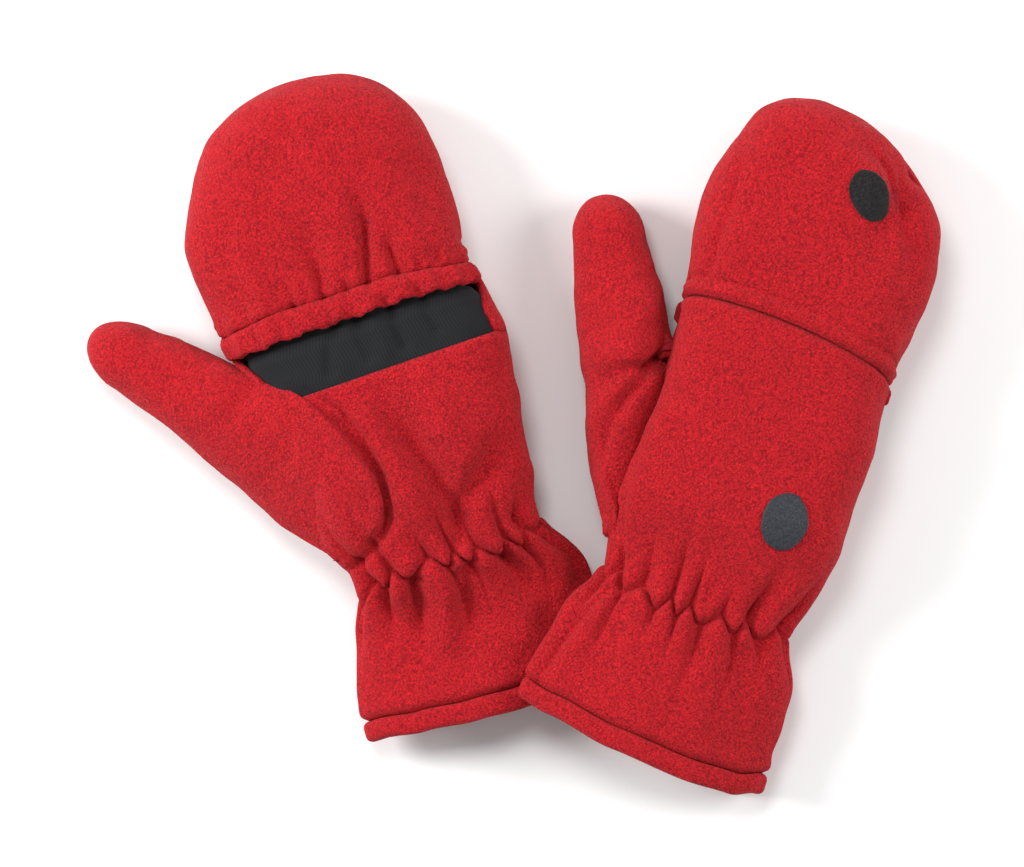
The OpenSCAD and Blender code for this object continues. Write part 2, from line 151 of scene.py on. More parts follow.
def smooth_rows(x, width):
    k = np.exp(-0.5 * (np.arange(-3 * width, 3 * width + 1) / width) ** 2)
    pad = np.pad(x, 3 * width, mode="edge")
    return np.convolve(pad, k / k.sum(), mode="valid")


def signed_power(x, power):
    """Bends a sine or cosine, so that a ring drawn with it is squarer or more pointed."""
    return np.sign(x) * np.abs(x) ** power


FORM = {
    "right": dict(cuff=50, palm=43.5, cap=46.5, top=38, round_len=56, drift=-13, cuff_less=0,
                  middle=[[-58, -1], [-20, 0], [67, 0], [107, -3], [137, -5]],
                  left_seam=[[-58, 31], [-24, 28], [0, 19], [30, 23]],
                  right_seam=[[-58, 14], [-24, 15], [4, 19], [32, 23]],
                  left_power=[[-24, 1.4], [0, 2.2], [34, 2.7]],
                  right_power=[[-24, 2.1], [0, 2.2], [34, 2.7]]),
    "left": dict(cuff=49.5, palm=46.5, cap=50.5, top=26, round_len=52, drift=4, cuff_less=4,
                 middle=[[-58, -6], [-40.6, 0], [-20, 3], [0, -0.5], [67, -1], [107, -5], [137, -4.7]],
                 left_seam=[[-58, 13], [-24, 14], [0, 19], [30, 23]],
                 right_seam=[[-58, 4], [-24, 5], [4, 16], [32, 23]],
                 left_power=[[-24, 2.1], [0, 2.2], [34, 2.7]],
                 right_power=[[-24, 1.5], [0, 2.2], [34, 2.7]]),
}
# How much fuller each edge of the laid cloth is than the plain form, along v
FULLER = {
    ("right", "left"): [[-58, 0], [4, 0], [16, 1.8], [32, 2.6], [52, 2], [70, 0], [84, -1.5],
                        [98, -3], [112, -2.4], [126, 0], [150, 0.5], [170, -0.5], [194, 0]],
    ("right", "right"): [[-58, 0.6], [-30, -0.8], [0, 0], [14, 1.6], [34, 1.8], [52, 1.4],
                         [66, 0.4], [96, -1.6], [108, -3], [124, -1.0], [150, 0], [168, 1.2],
                         [194, 0]],
    ("left", "left"): [[-58, 0.6], [-30, 0.9], [0, -1], [84, 0], [100, 2.8], [118, 2.6], [140, 2.4],
                       [165, -2.8], [194, 0]],
    ("left", "right"): [[-58, 0], [-34, 0.5], [-14, 0.2], [0, 0], [12, -3.4], [34, -2.4], [52, 0.4],
                        [78, 4.0], [94, 3.0], [108, -0.4], [124, 0.4], [194, 0]],
}
STEP = 0.75
SIDE_POINTS = 241


class Form:
    """Tables of points and outward normals over (half, w, s). w runs along the mitten and equals v
    up to the round of the cap, s runs from the right seam (0) to the left seam (1)."""

    def __init__(self, m):
        f = FORM[m.side]
        self.m = m
        self.start = m.tip - f["round_len"]
        self.w = np.arange(m.cuff, self.start + f["round_len"] * math.pi / 2 + STEP / 2, STEP)
        angle = np.clip((self.w - self.start) / f["round_len"], 0, math.pi / 2)
        self.v = np.where(self.w > self.start, self.start + f["round_len"] * np.sin(angle), self.w)
        r = np.sin(angle)
        v = self.v
        across = (1 - np.clip(r, 0, 1) ** 2.2) ** (1 / 2.2)
        up = (1 - np.clip(r, 0, 1) ** 2.8) ** (1 / 2.8)
        half = along([[-58, f["cuff"] - f["cuff_less"]], [-40.6, f["cuff"]], [-20, f["cuff"] - 3],
                      [0, 37], [22, f["palm"] - 2], [82, f["palm"]],
                      [107, 0.6 * f["palm"] + 0.4 * f["cap"]], [135, f["cap"]]], v)
        fuller = [smooth_rows(along(FULLER[m.side, edge], v), 5) for edge in ("left", "right")]
        half = (smooth_rows(half, 4) + (fuller[0] + fuller[1]) / 2) * across
        middle = smooth_rows(along(f["middle"], v), 6)
        middle = middle + f["drift"] * r * r + (fuller[1] - fuller[0]) / 2
        low = smooth_rows(along([[-58, -2], [-18, -2], [0, 2], [16, -1], [34, -2]], v), 5)
        high = smooth_rows(along([[-58, f["top"]], [-20, f["top"]], [0, 36], [46, 48]], v), 6)
        seam_l, seam_r, pow_l, pow_r = (
            smooth_rows(along(f[key], v), 5)
            for key in ("left_seam", "right_seam", "left_power", "right_power"))
        centre = (seam_l + seam_r) / 2
        rows = len(v)
        t = np.linspace(0, math.pi, 721)
        self.p = np.zeros((2, rows, SIDE_POINTS, 3))
        even = np.linspace(0, 1, SIDE_POINTS)
        for k, sign in ((0, 1), (1, -1)):
            for i in range(rows):
                e = np.where(np.cos(t) < 0, 2 / pow_l[i], 2 / pow_r[i])
                c = signed_power(np.cos(t), e)
                h = np.abs(np.sin(t)) ** e
                reach = (high[i] - centre[i] if sign > 0 else centre[i] - low[i]) * up[i]
                z = seam_r[i] + (seam_l[i] - seam_r[i]) * (1 - c) / 2 + sign * h * reach
                z = soft_min(z, m.height)
                z = -soft_min(-z, -0.05, 0.8)
                u = middle[i] + half[i] * c
                length = np.concatenate([[0], np.cumsum(np.hypot(np.diff(u), np.diff(z)))])
                if length[-1] > 1e-6:
                    u = np.interp(even * length[-1], length, u)
                    z = np.interp(even * length[-1], length, z)
                else:
                    u, z = np.full(SIDE_POINTS, u[0]), np.full(SIDE_POINTS, z[0])
                self.p[k, i, :, 0], self.p[k, i, :, 1], self.p[k, i, :, 2] = u, v[i], z
        du = np.gradient(self.p, axis=2)
        dw = np.gradient(self.p, axis=1)
        n = np.cross(du, dw)
        n[0] = -n[0]
        length = np.linalg.norm(n, axis=3, keepdims=True)
        self.n = n / np.maximum(length, 1e-9)
        self.n = np.where(length < 1e-7, [0, 1, 0], self.n)
        for _ in range(6):
            self.n[:, :, 1:-1] = (self.n[:, :, :-2] + 2 * self.n[:, :, 1:-1] + self.n[:, :, 2:]) / 4
        seam = self.n[0, :, [0, -1]] + self.n[1, :, [0, -1]]
        for k in (0, 1):
            self.n[k, :, 0], self.n[k, :, -1] = seam[0], seam[1]
        self.n /= np.maximum(np.linalg.norm(self.n, axis=3, keepdims=True), 1e-9)

    def sample(self, table, half, w, s):
        x = np.clip((w - self.w[0]) / STEP, 0, len(self.w) - 1.001)
        y = np.clip(s, 0, 1) * (SIDE_POINTS - 1.001)
        i, j = x.astype(int), y.astype(int)
        fx, fy = (x - i)[..., None], (y - j)[..., None]
        t = table[half]
        return ((t[i, j] * (1 - fy) + t[i, j + 1] * fy) * (1 - fx)
                + (t[i + 1, j] * (1 - fy) + t[i + 1, j + 1] * fy) * fx)

    def girth(self, half, w):
        line = self.sample(self.p, half, np.full(97, float(w)), np.linspace(0, 1, 97))
        return np.linalg.norm(np.diff(line, axis=0), axis=1).sum()


forms = {m.side: Form(m) for m in mittens}
for side, form in forms.items():
    print(side, "form has", form.p.shape[1], "sections, palm girth", round(form.girth(0, 50), 1), "mm")


# %% [markdown]
# Folds are what make the form read as cloth. On a real mitten the elastic at the wrist gathers the
# fleece into soft lobes, and the lobes above the stitching nest between the lobes below it. Here
# each fold is a small push in or out along the surface. Displacing by a formula keeps the lobes
# where the elastic is, which a noise texture would not do.

# %% Folds of the cloth
WRIST_LINE = {
    "right": [[-37, -1], [-20, -5], [9, -5], [28, -2.8], [37, -1.5]],
    "left": [[-37, -5.5], [-22, -2.5], [-6, -2.5], [18, -5.8], [28, -4.5], [37, 1]],
}
HEM_WIDTH = 8
# Soft valleys: (side, half) -> lists of (u, v, depth, width); a negative depth is a ridge. The
# depths are multiplied by FOLD_DEPTH, so that all the folds can be made softer or stronger at once.
FOLD_DEPTH = 1.75
VALLEYS = {
    ("right", 0): [
        [(-44, 84, 0.5, 5), (-45, 62, 1.2, 4), (-42, 34, 0.9, 4), (-39, 14, 0.8, 4)],
        [(-30, -4, 1.0, 1.5), (-36, -14, 1.0, 1.4), (-42, -32, 0.9, 1.3), (-45.5, -50, 0.8, 1.3)],
        [(-26, -8, -0.5, 2.6), (-32, -18, -0.6, 2.4), (-38, -34, -0.5, 2.4), (-41, -50, -0.3, 2.4)],
        [(20, 186, 0.6, 4), (19, 174, 2.6, 5), (16, 160, 2.4, 5.5), (16, 148, 0.8, 6),
         (20, 136, 0.1, 7)],
        [(-8, 186, 0.1, 8), (-14, 168, -0.8, 9), (-12, 148, -0.4, 9)],
        [(-4, 185, 0.3, 3), (6, 181, 1.7, 2.6), (15, 173.5, 2.4, 2.6), (22, 165, 1.8, 3),
         (26, 156, 0.4, 4)],
        [(-8, 178, -0.6, 5), (3, 174, -0.9, 5), (11, 166, -0.6, 5)],
        [(7, 186, 0.6, 2), (17, 178.5, 1.2, 2.2), (25, 170, 0.3, 3)],
        [(-37, 62, -0.7, 4), (-36, 34, -0.6, 4), (-33, 12, -0.4, 4)],
        [(22, 3, 1.6, 3.5), (27, 18, 0.8, 4.5), (30, 34, 0.2, 6)],
        [(-12, 4, 1.2, 3), (-13, 14, 0.3, 4)],
        [(-45, 172, 0.2, 2.6), (-42.5, 150, 0.7, 2.2), (-41, 122, 0.8, 2), (-42.4, 115, 0.5, 2)],
        [(4, 2, 1.2, 3), (5, 13, 0.3, 4)],
        [(-22, -50, 0.2, 6), (-26, -30, 1.0, 7), (-24, -12, 1.5, 5)],
        [(24, -12, 1.4, 3), (29, -30, 0.6, 6), (30, -46, 0.1, 6)],
        [(-34, 118, 0.2, 6), (-18, 124, 0.8, 8), (6, 122, 0.5, 9), (26, 112, 0.2, 6)],
        [(34, 132, 0.3, 5), (31, 150, 1.2, 5), (24, 168, 1.0, 5), (14, 182, 0.3, 5)],
        [(-30, 150, 0.2, 9), (-22, 168, 0.8, 10), (-10, 180, 0.3, 8)],
    ],
    ("left", 0): [
        [(10, 80, 1.6, 1.8), (8, 98, 1.4, 1.8)], [(-4, 80, 1.4, 2.0), (-6, 98, 1.2, 2.0)],
        [(24, 82, 1.3, 2.0), (21, 98, 1.1, 2.0)], [(-20, 80, 1.3, 2.4), (-14, 96, 1.1, 2.4)],
        [(3, 80, -0.9, 2.4), (1, 96, -0.8, 2.4)],
        [(-36, 77, 0.6, 2.4), (-21, 59, 1.6, 2.4), (-14.6, 36, 1.9, 2.4), (-17.5, 18, 1.9, 2.4),
         (-35, 6.5, 1.2, 2.4)],
        [(-31, 76.5, 0.6, 1.2), (-20.6, 64.5, 1.5, 1.2), (-16.2, 54, 1.7, 1.2), (-14.2, 37, 1.7, 1.2),
         (-15.4, 23, 1.7, 1.2), (-22, 12, 1.3, 1.2), (-34, 6.4, 0.8, 1.2)],
        [(-10, 73, 0.8, 6), (-4, 62, 2.4, 6), (1, 45, 3.8, 5.5), (5, 28, 4.2, 4.6), (7, 12, 3.4, 3.6),
         (6, 2, 2.4, 3)],
        [(-13, 58, -1.0, 5), (-9, 38, -1.2, 5.5), (-6, 18, -1.0, 5)],
        [(14, 66, -1.2, 7), (15, 46, -1.8, 6), (19, 34, -1.2, 5)],
        [(36, 37, 0.6, 6), (27, 28, 2.8, 4.6), (17, 20, 3.0, 4.2), (9, 12, 1.4, 4)],
        [(29, 12, -1.0, 5), (36, 20, -0.8, 5)],
        [(38, 30, 0.1, 5), (35, 16, 1.2, 3.6), (29, 4, 1.8, 3)],
        [(4, -9, 3.2, 3), (0, -22, 2.0, 4.4), (-7, -35, 0.9, 6), (-9, -46, 0.1, 7)],
        [(-15, -8, 2.6, 3), (-19, -21, 1.8, 4), (-24, -34, 0.6, 6)],
        [(-30, -3, 2.2, 3), (-28, -17, 1.6, 4), (-27, -27, 0.2, 5)],
        [(-6, -16, -1.0, 4), (-13, -30, -0.8, 5)],
        [(21, -10, 2.2, 3), (26, -22, 1.4, 5), (32, -36, 0.4, 7)],
        [(12, 147, 0.2, 5), (11.5, 139, 1.2, 3.4), (10.9, 128, 2.5, 2.5), (7.5, 117, 2.9, 2.2),
         (4.3, 107, 2.6, 2.0)],
        [(18, 122, 0.2, 3), (17, 116, 1.9, 2.0), (16.6, 107, 2.3, 1.8)],
        [(-12.2, 136, 0.2, 5), (-12, 125, 1.3, 3.4), (-11.6, 115, 2.2, 2.4), (-12.9, 107, 2.0, 2)],
        [(-25.6, 120, 0.2, 3), (-25.2, 115, 1.4, 2.2), (-24.6, 107, 1.8, 1.8)],
        [(-33, 134, 0.2, 5), (-31, 126, 1.0, 4), (-29, 115, 1.3, 3), (-28, 107, 0.6, 2.5)],
        [(33.5, 112, 0.3, 2.4), (33, 107, 1.5, 1.8)], [(26, 110, 0.3, 2), (25.6, 107, 1.3, 1.6)],
        [(-3, 112, 0.3, 2), (-3.6, 107, 1.4, 1.6)],
        [(0, 134, -0.7, 7), (-4, 118, -0.9, 4)], [(24, 130, -0.5, 7), (24, 116, -0.6, 5)],
        [(38, 118, 0.2, 5), (36, 140, 0.9, 6), (30, 160, 0.4, 7)],
        [(-44, 112, 0.3, 5), (-42, 136, 0.9, 7), (-34, 160, 0.3, 8)],
    ],
}


def distance_along(points, u, v):
    """Squared distance from each (u, v) to a line of points, in widths, and the depth there."""
    best = np.full(u.shape, 1e9)
    depth = np.zeros(u.shape)
    for (u0, v0, d0, w0), (u1, v1, d1, w1) in zip(points, points[1:]):
        du, dv = u1 - u0, v1 - v0
        f = np.clip(((u - u0) * du + (v - v0) * dv) / (du * du + dv * dv), 0, 1)
        x = ((u - u0 - f * du) ** 2 + (v - v0 - f * dv) ** 2) / (w0 + f * (w1 - w0)) ** 2
        nearer = x < best
        best = np.where(nearer, x, best)
        depth = np.where(nearer, d0 + f * (d1 - d0), depth)
    return best, depth


LOBES = 8
LOBE_HEIGHT = 6.6
PINCH = 3.6
LOBE_REACH = {"right": (12.0, 13.0), "left": (14.0, 13.0)}


def wrist_gathers(side, round_s, u, v):
    """Lobes above and below the stitched line of the wrist elastic, nested into each other."""
    k = 0.0 if side == "right" else 1.7
    phase = 2 * math.pi * LOBES * round_s
    phase = phase + 1.0 * np.sin(3 * math.pi * round_s + 1 + k)
    phase = phase + 0.8 * np.sin(7 * math.pi * round_s + k)
    z = v - along(WRIST_LINE[side], np.clip(u, -37, 37)) - 2.6 * np.cos(phase)
    above = z > 0
    lobe = np.where(above, np.abs(np.sin(phase / 2)), np.abs(np.cos(phase / 2))) ** 0.75
    vary = 1 + 0.4 * np.sin(4 * math.pi * round_s + 2 * k) * np.where(above, 1, -1)
    reach = np.where(above, *LOBE_REACH[side]) * vary
    fade = np.exp(-(np.abs(z) / reach) ** 1.5)
    pinch = np.exp(-np.abs(z) / 1.6)
    return LOBE_HEIGHT * (lobe - 0.68) * fade * (1 - pinch) - PINCH * pinch


def lumps(points, size, seed):
    """Slow unevenness of stuffed cloth: a few crossing waves in 3-D, the same each run."""
    rng = np.random.default_rng(seed)
    total = np.zeros(points.shape[:-1])
    for _ in range(9):
        direction = rng.normal(size=3)
        direction /= np.linalg.norm(direction)
        total += np.sin(points @ direction * 2 * math.pi / (size * rng.uniform(0.7, 1.6))
                        + rng.uniform(0, 6.28))
    return total / 3


def edge_groove(d, depth, width):
    return -depth * np.exp(-(d / width) ** 2)


HALF_GIRTH = 125.0


def relief(form, half, w, s):
    """How far the cloth stands out from the form, in millimetres."""
    m = form.m
    p = form.sample(form.p, half, w, s)
    u, v = p[..., 0], p[..., 1]
    round_s = np.where(np.asarray(half) == 0, s, 2 - s)
    out = wrist_gathers(m.side, round_s, u, v)
    out = out + 0.55 * lumps(p, 34, 3 if m.right else 5) + 0.22 * lumps(p, 13, 8)
    for line in VALLEYS.get((m.side, half), ()):
        x, depth = distance_along(line, u, v)
        out = out - FOLD_DEPTH * depth * np.exp(-x)
    near_tip = np.clip((w - form.start) / (form.w[-1] - form.start), 0, 1)
    side = np.minimum(s, 1 - s) * HALF_GIRTH * (1 - 0.75 * near_tip)
    out = out + edge_groove(side, 1.0, 1.3) + edge_groove(side - 3.2, -0.35, 1.8)
    hem = m.cuff + HEM_WIDTH
    out = out + np.where(v > hem, 1.1 * np.exp(-((v - hem - 3) / 3.2) ** 2), 0)
    return out * (1 - 0.36 * np.exp(-((v - hem) / 5.0) ** 2))


CUFF_BOW = {
    "right": [[-50, 0], [-38, 2], [-10, 5.5], [20, 7], [38, 6], [48, 2.5]],
    "left": [[-46, 0.6], [-30, 3], [-10, 5.5], [8, 7], [24, 6.8], [38, 4], [50, 0.5]],
}


def surface(form, half, w, s, depth=0.0, share=1.0, extra=0.0):
    """Points of the cloth at a depth under the outer face, in the mitten's own axes."""
    w, s = np.broadcast_arrays(np.asarray(w, float), np.asarray(s, float))
    out = relief(form, half, w, s) * share + extra - depth
    p = form.sample(form.p, half, w, s) + form.sample(form.n, half, w, s) * out[..., None]
    p[..., 2] = np.maximum(p[..., 2], 0.02 + 0.3 * depth)
    low = np.clip((-12 - p[..., 1]) / 46, 0, 1)
    p[..., 1] -= low * low * (3 - 2 * low) * along(CUFF_BOW[form.m.side], p[..., 0])
    return p


def surface_past_seams(form, half, w, s, **values):
    """Like surface, but s may run a little below 0 or above 1, round the side seam."""
    w, s = np.broadcast_arrays(np.asarray(w, float), np.asarray(s, float))
    here = surface(form, half, w, np.clip(s, 0, 1), **values)
    past = np.where(s < 0.5, np.clip(-s, 0, 1), np.clip(2 - s, 0, 1))
    there = surface(form, 1 - half, w, past, **values)
    return np.where(((s < 0) | (s > 1))[..., None], there, here)


print("valleys:", len(VALLEYS["right", 0]), "on the right back,",
      len(VALLEYS["left", 0]), "on the left palm")

# %% [markdown]
# Every piece of cloth is made the same way: a flat grid is added as the cut cloth, its points are
# moved onto the surface, and a Solidify modifier gives it the thickness of the ply. The grid keeps
# its rows, so the UV map can be laid in millimetres for the ribs of the knit.

# %% Make a piece of cloth from rows of points
pieces = {}


def select_only(o):
    bpy.ops.object.select_all(action="DESELECT")
    o.select_set(True)
    bpy.context.view_layer.objects.active = o


@contextlib.contextmanager
def editing(o, start="SELECT"):
    """Edit mode on o, with all of it selected or, for "DESELECT", nothing."""
    select_only(o)
    bpy.ops.object.mode_set(mode="EDIT")
    bpy.ops.mesh.select_all(action=start)
    yield
    bpy.ops.object.mode_set(mode="OBJECT")


def fill(o, chosen, turn_out=False):
    """Closes an opening with a face across the chosen vertices."""
    with editing(o, "DESELECT"):
        pass
    o.data.vertices.foreach_set("select", np.array(chosen, bool))
    bpy.ops.object.mode_set(mode="EDIT")
    bpy.ops.mesh.edge_face_add()
    if turn_out:
        bpy.ops.mesh.normals_make_consistent(inside=False)
    bpy.ops.object.mode_set(mode="OBJECT")


def apply_modifiers(o):
    select_only(o)
    for mod in list(o.modifiers):
        bpy.ops.object.modifier_apply(modifier=mod.name)


WELD = 2e-6


def wrap_grid(name, m, points, closed=False, flip=False):
    rows, cols = points.shape[:2]
    bpy.ops.object.select_all(action="DESELECT")
    bpy.ops.mesh.primitive_grid_add(x_subdivisions=cols - 1, y_subdivisions=rows - 1, size=2)
    o = bpy.context.active_object
    o.name = o.data.name = name
    mesh = o.data
    co = np.zeros(len(mesh.vertices) * 3)
    mesh.vertices.foreach_get("co", co)
    co = co.reshape(-1, 3)
    j = np.rint((co[:, 0] + 1) / 2 * (cols - 1)).astype(int)
    i = np.rint((co[:, 1] + 1) / 2 * (rows - 1)).astype(int)
    mesh.vertices.foreach_set("co", (m.world(points[i, j]) * MM).ravel())
    across = np.zeros((rows, cols))
    across[:, 1:] = np.cumsum(np.linalg.norm(np.diff(points, axis=1), axis=2), axis=1)
    across -= across[:, -1:] / 2
    steps = np.zeros(rows)
    steps[1:] = np.cumsum(np.linalg.norm(np.diff(points[:, cols // 2], axis=0), axis=1))
    corner = np.zeros(len(mesh.loops), int)
    mesh.loops.foreach_get("vertex_index", corner)
    uv = np.stack([across[i, j][corner], steps[i][corner]], 1) * MM
    mesh.uv_layers[0].name = "Cloth"
    mesh.uv_layers[0].data.foreach_set("uv", uv.ravel())
    if flip:
        mesh.flip_normals()
    mesh.update()
    if closed:
        with editing(o):
            bpy.ops.mesh.remove_doubles(threshold=WELD)
    bpy.ops.object.shade_smooth()
    return o


def thicken(o, ply):
    mod = o.modifiers.new("ply", "SOLIDIFY")
    mod.thickness = ply * MM
    mod.offset = -1
    apply_modifiers(o)


def spacing(a, b, step):
    return np.linspace(a, b, max(2, int(round(abs(b - a) / step)) + 1))


def flat_size(base):
    """Width, length and area of the cut cloth, in metres, from its rows of points."""
    width = np.linalg.norm(np.diff(base, axis=1), axis=2).sum(1).max()
    length = np.linalg.norm(np.diff(base, axis=0), axis=2).sum(0).max()
    a = np.cross(base[1:, 1:] - base[:-1, :-1], base[1:, :-1] - base[:-1, 1:])
    return width * MM, length * MM, np.linalg.norm(a, axis=2).sum() / 2 * MM * MM


def finish_piece(o, m, body, slot, nodes, base=None):
    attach(o, f"{m.side}_{body}")
    if nodes:
        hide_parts(*[f"{m.side}_{n}" for n in nodes])
    if base is not None:
        width, length, area = flat_size(base)
        area = min(max(area, 0.31 * width * length), width * length)
        print(f"{o.name}: {len(o.data.polygons)} faces, cut {width / MM:.0f} x {length / MM:.0f} mm")
    pieces[o.name] = (o, slot)


# %% [markdown]
# The hand has a back panel and a palm panel that meet in the side seams. The palm panel stops
# short, which leaves room for the knit band, and the back panel runs on to the knuckle seam.

# %% Back and palm of the hand
FLEECE_PLY = 2.6
LINING_PLY = 1.0
KNIT_PLY = 1.2
HEM_SEAM = HEM_WIDTH - 0.4
FINE = 1.0


def wrist_rows(a, b):
    """Rows from a to b, closer together at the gathers."""
    rows = [a]
    while rows[-1] < b:
        rows.append(rows[-1] + FINE * (0.6 if -14 < rows[-1] < 9 else 1.1))
    rows = np.array(rows)
    return a + (rows - a) * (b - a) / (rows[-1] - a)


def knuckle_line(m, s):
    """Where the knuckle seam runs on the back, which bows towards the tip in the middle."""
    return m.knuckle - 1 + 5.5 * np.sin(math.pi * np.clip(s, 0, 1)) - 3.5 * (1 - s) ** 2


def hand_panel(m, palm):
    form = forms[m.side]
    half = 1 if palm == m.right else 0
    rows = wrist_rows(m.cuff + HEM_SEAM, m.palm_end if palm else m.knuckle)
    s = np.linspace(0, 1, int(122 / FINE))[None, :]
    w = np.repeat(rows[:, None], s.shape[1], 1)
    if palm:
        end = edge_groove(m.palm_end - w, 1.2, 1.2)
    else:
        stop = knuckle_line(m, s) - 0.1
        share = np.clip((w - 80) / (m.knuckle - 80), 0, 1)
        w = w + share * (stop - m.knuckle)
        end = edge_groove(stop - w, 1.8, 1.2) + edge_groove(stop - w - 3, -0.4, 2.2)
        rise = np.clip((w - m.palm_end + 2.2) / 2.4, 0, 1)
        fall = np.clip((w - m.casing[0] + 14) / 16, 0, 1)
        turn = rise * rise * (3 - 2 * rise) * (1 - 0.85 * fall * fall * (3 - 2 * fall))
        s = 0.5 + (s - 0.5) * (1 + 0.22 * turn)
    end = end + edge_groove(w - m.cuff - HEM_SEAM, 2.6, 1.5)
    points = surface_past_seams(form, half, w, s, extra=end)
    o = wrap_grid(f"{m.side}_{'palm' if palm else 'back'}_fleece", m, points, flip=half == 0)
    thicken(o, FLEECE_PLY)
    base = form.sample(form.p, half, *np.broadcast_arrays(w, np.clip(s, 0, 1)))
    finish_piece(o, m, "hand", "fleece", ["palm_panel" if palm else "back_panel"], base)


for m in mittens:
    hand_panel(m, palm=False)
    hand_panel(m, palm=True)

# %% [markdown]
# Tubes and hems go right round or fold back on themselves. A hem is one strip of cloth folded over
# its own edge, so it is a closed loop in cross-section, swept along the edge. A bevelled tube on a
# curve would be quicker, but it could not follow the flattened mouth of the cuff.

# %% Cuff hems


def spread(rows, s):
    """Tables of w and of depth, from (w, depth) rows repeated along s."""
    rows = np.array(rows, float)
    return (np.repeat(rows[:, k:k + 1], s.shape[1], 1) for k in (0, 1))


def round_the_hand(form, stations, points_round, share=1.0):
    """Rows of points right round the hand, from (w, depth) stations, starting at the right seam."""
    s = np.linspace(0, 2, points_round + 1)[None, :]
    w, depth = spread(stations, s)
    upper = surface(form, 0, w, np.clip(s, 0, 1), depth, share)
    lower = surface(form, 1, w, np.clip(2 - s, 0, 1), depth, share)
    points = np.where((s <= 1)[..., None], upper, lower)
    points[:, -1] = points[:, 0]
    return points


def hem_profile(edge, inner, depth, round_by=2.2, proud=0.9, n=7):
    """(w, depth) stations round a folded hem: down its outer face, round the free edge, and back."""
    wide = edge - inner
    sign = 1 if wide > 0 else -1
    turn = edge - sign * round_by
    out = [(inner, 1.5), (inner + wide * 0.03, 0.5), (inner + wide * 0.12, -0.5 * proud)]
    out += [(x, -proud) for x in np.linspace(inner + wide * 0.3, turn, 4)]
    for k in range(1, n):
        a = math.pi * k / n
        x = edge - sign * round_by * (1 - math.sin(a))
        out.append((x, depth / 2 - (depth / 2 + proud) * math.cos(a)))
    out += [(x, depth) for x in np.linspace(turn, inner + wide * 0.05, 5)]
    return out + out[:1]


def weld_profile(o):
    """Joins the first and last rows of a hem, so that the fold is closed all round."""
    with editing(o):
        bpy.ops.mesh.remove_doubles(threshold=WELD)
        bpy.ops.mesh.normals_make_consistent(inside=False)


def cuff_hem(m):
    form = forms[m.side]
    profile = hem_profile(m.cuff, m.cuff + HEM_WIDTH, 4.2)
    points = round_the_hand(form, profile, int(250 / FINE))
    o = wrap_grid(f"{m.side}_cuff_hem", m, points, closed=True)
    weld_profile(o)
    finish_piece(o, m, "hand", "fleece", ["cuff_band"])


for m in mittens:
    cuff_hem(m)

# %% [markdown]
# Inside there is a lining of thinner fleece, and white elastic between the lining and the shell at
# the wrist. They show in the mouth of the cuff and when a cap is open, so they are real plies here
# too, a little smoother than the shell because they are pulled less.

# %% Linings and elastics
# How deep under the outer face of the fleece each inner ply lies
LINING_DEPTH = 4.9
WRIST_ELASTIC_DEPTH = 3.1
CAP_LINING_DEPTH = 3.4


def lining_of_hand(m):
    form = forms[m.side]
    rows = spacing(m.cuff + 3, m.palm_end + 9, 1.5)
    points = round_the_hand(form, [(w, LINING_DEPTH) for w in rows], 240)
    o = wrap_grid(f"{m.side}_hand_lining_cloth", m, points, closed=True, flip=True)
    thicken(o, LINING_PLY)
    finish_piece(o, m, "hand", "lining_fleece", ["hand_lining"], points)


def wrist_elastic(m):
    form = forms[m.side]
    points = round_the_hand(form, [(w, WRIST_ELASTIC_DEPTH) for w in spacing(-5, 5, 1.0)], 240)
    o = wrap_grid(f"{m.side}_wrist_elastic_tape", m, points, closed=True, flip=True)
    thicken(o, 1.0)
    finish_piece(o, m, "hand", "elastic", ["wrist_elastic"])


def lining_of_cap(m):
    form = forms[m.side]
    rows = spacing(m.knuckle + 1.5, form.w[-1] - 4.0, 2.2)
    points = round_the_hand(form, [(w, CAP_LINING_DEPTH) for w in rows], 160, share=0.5)
    o = wrap_grid(f"{m.side}_cap_lining_cloth", m, points, closed=True, flip=True)
    limit = float((m.world(points[-1]) * MM @ m.a).min()) - 1e-5
    fill(o, [float(np.array(v.co) @ m.a) >= limit for v in o.data.vertices], turn_out=True)
    thicken(o, LINING_PLY)
    finish_piece(o, m, "cap", "lining_fleece", ["cap_lining"], points)


for m in mittens:
    lining_of_hand(m)
    wrist_elastic(m)
    lining_of_cap(m)

# %% [markdown]
# The cap is a second shell with its own back and palm panels. Its free edge on the palm side is
# turned back into a casing with elastic inside, so the edge is gathered and small creases run up
# from its stitching.

# %% Cap panels and casing


CASING_DROOP = [[0, -5.6], [0.06, -4.8], [0.14, -3.3], [0.24, -1.6], [0.36, -0.3], [0.5, 0.3],
                [0.7, 0.1], [0.84, -0.7], [0.94, -2.0], [1, -2.8]]


def casing_line(s):
    """How far the free edge of the cap droops towards the side seams."""
    return along(CASING_DROOP, s) + 0.4 * np.sin(19 * s + 1)


def casing_gather(m, s, strength):
    """The small waves that the elastic in the casing draws into its edge."""
    wave = np.sin(2 * math.pi * 11 * s + 2.2 * np.sin(5 * s) + (0 if m.right else 1.3))
    return strength * (0.9 * wave + 0.4 * np.sin(2 * math.pi * 26 * s + 1))


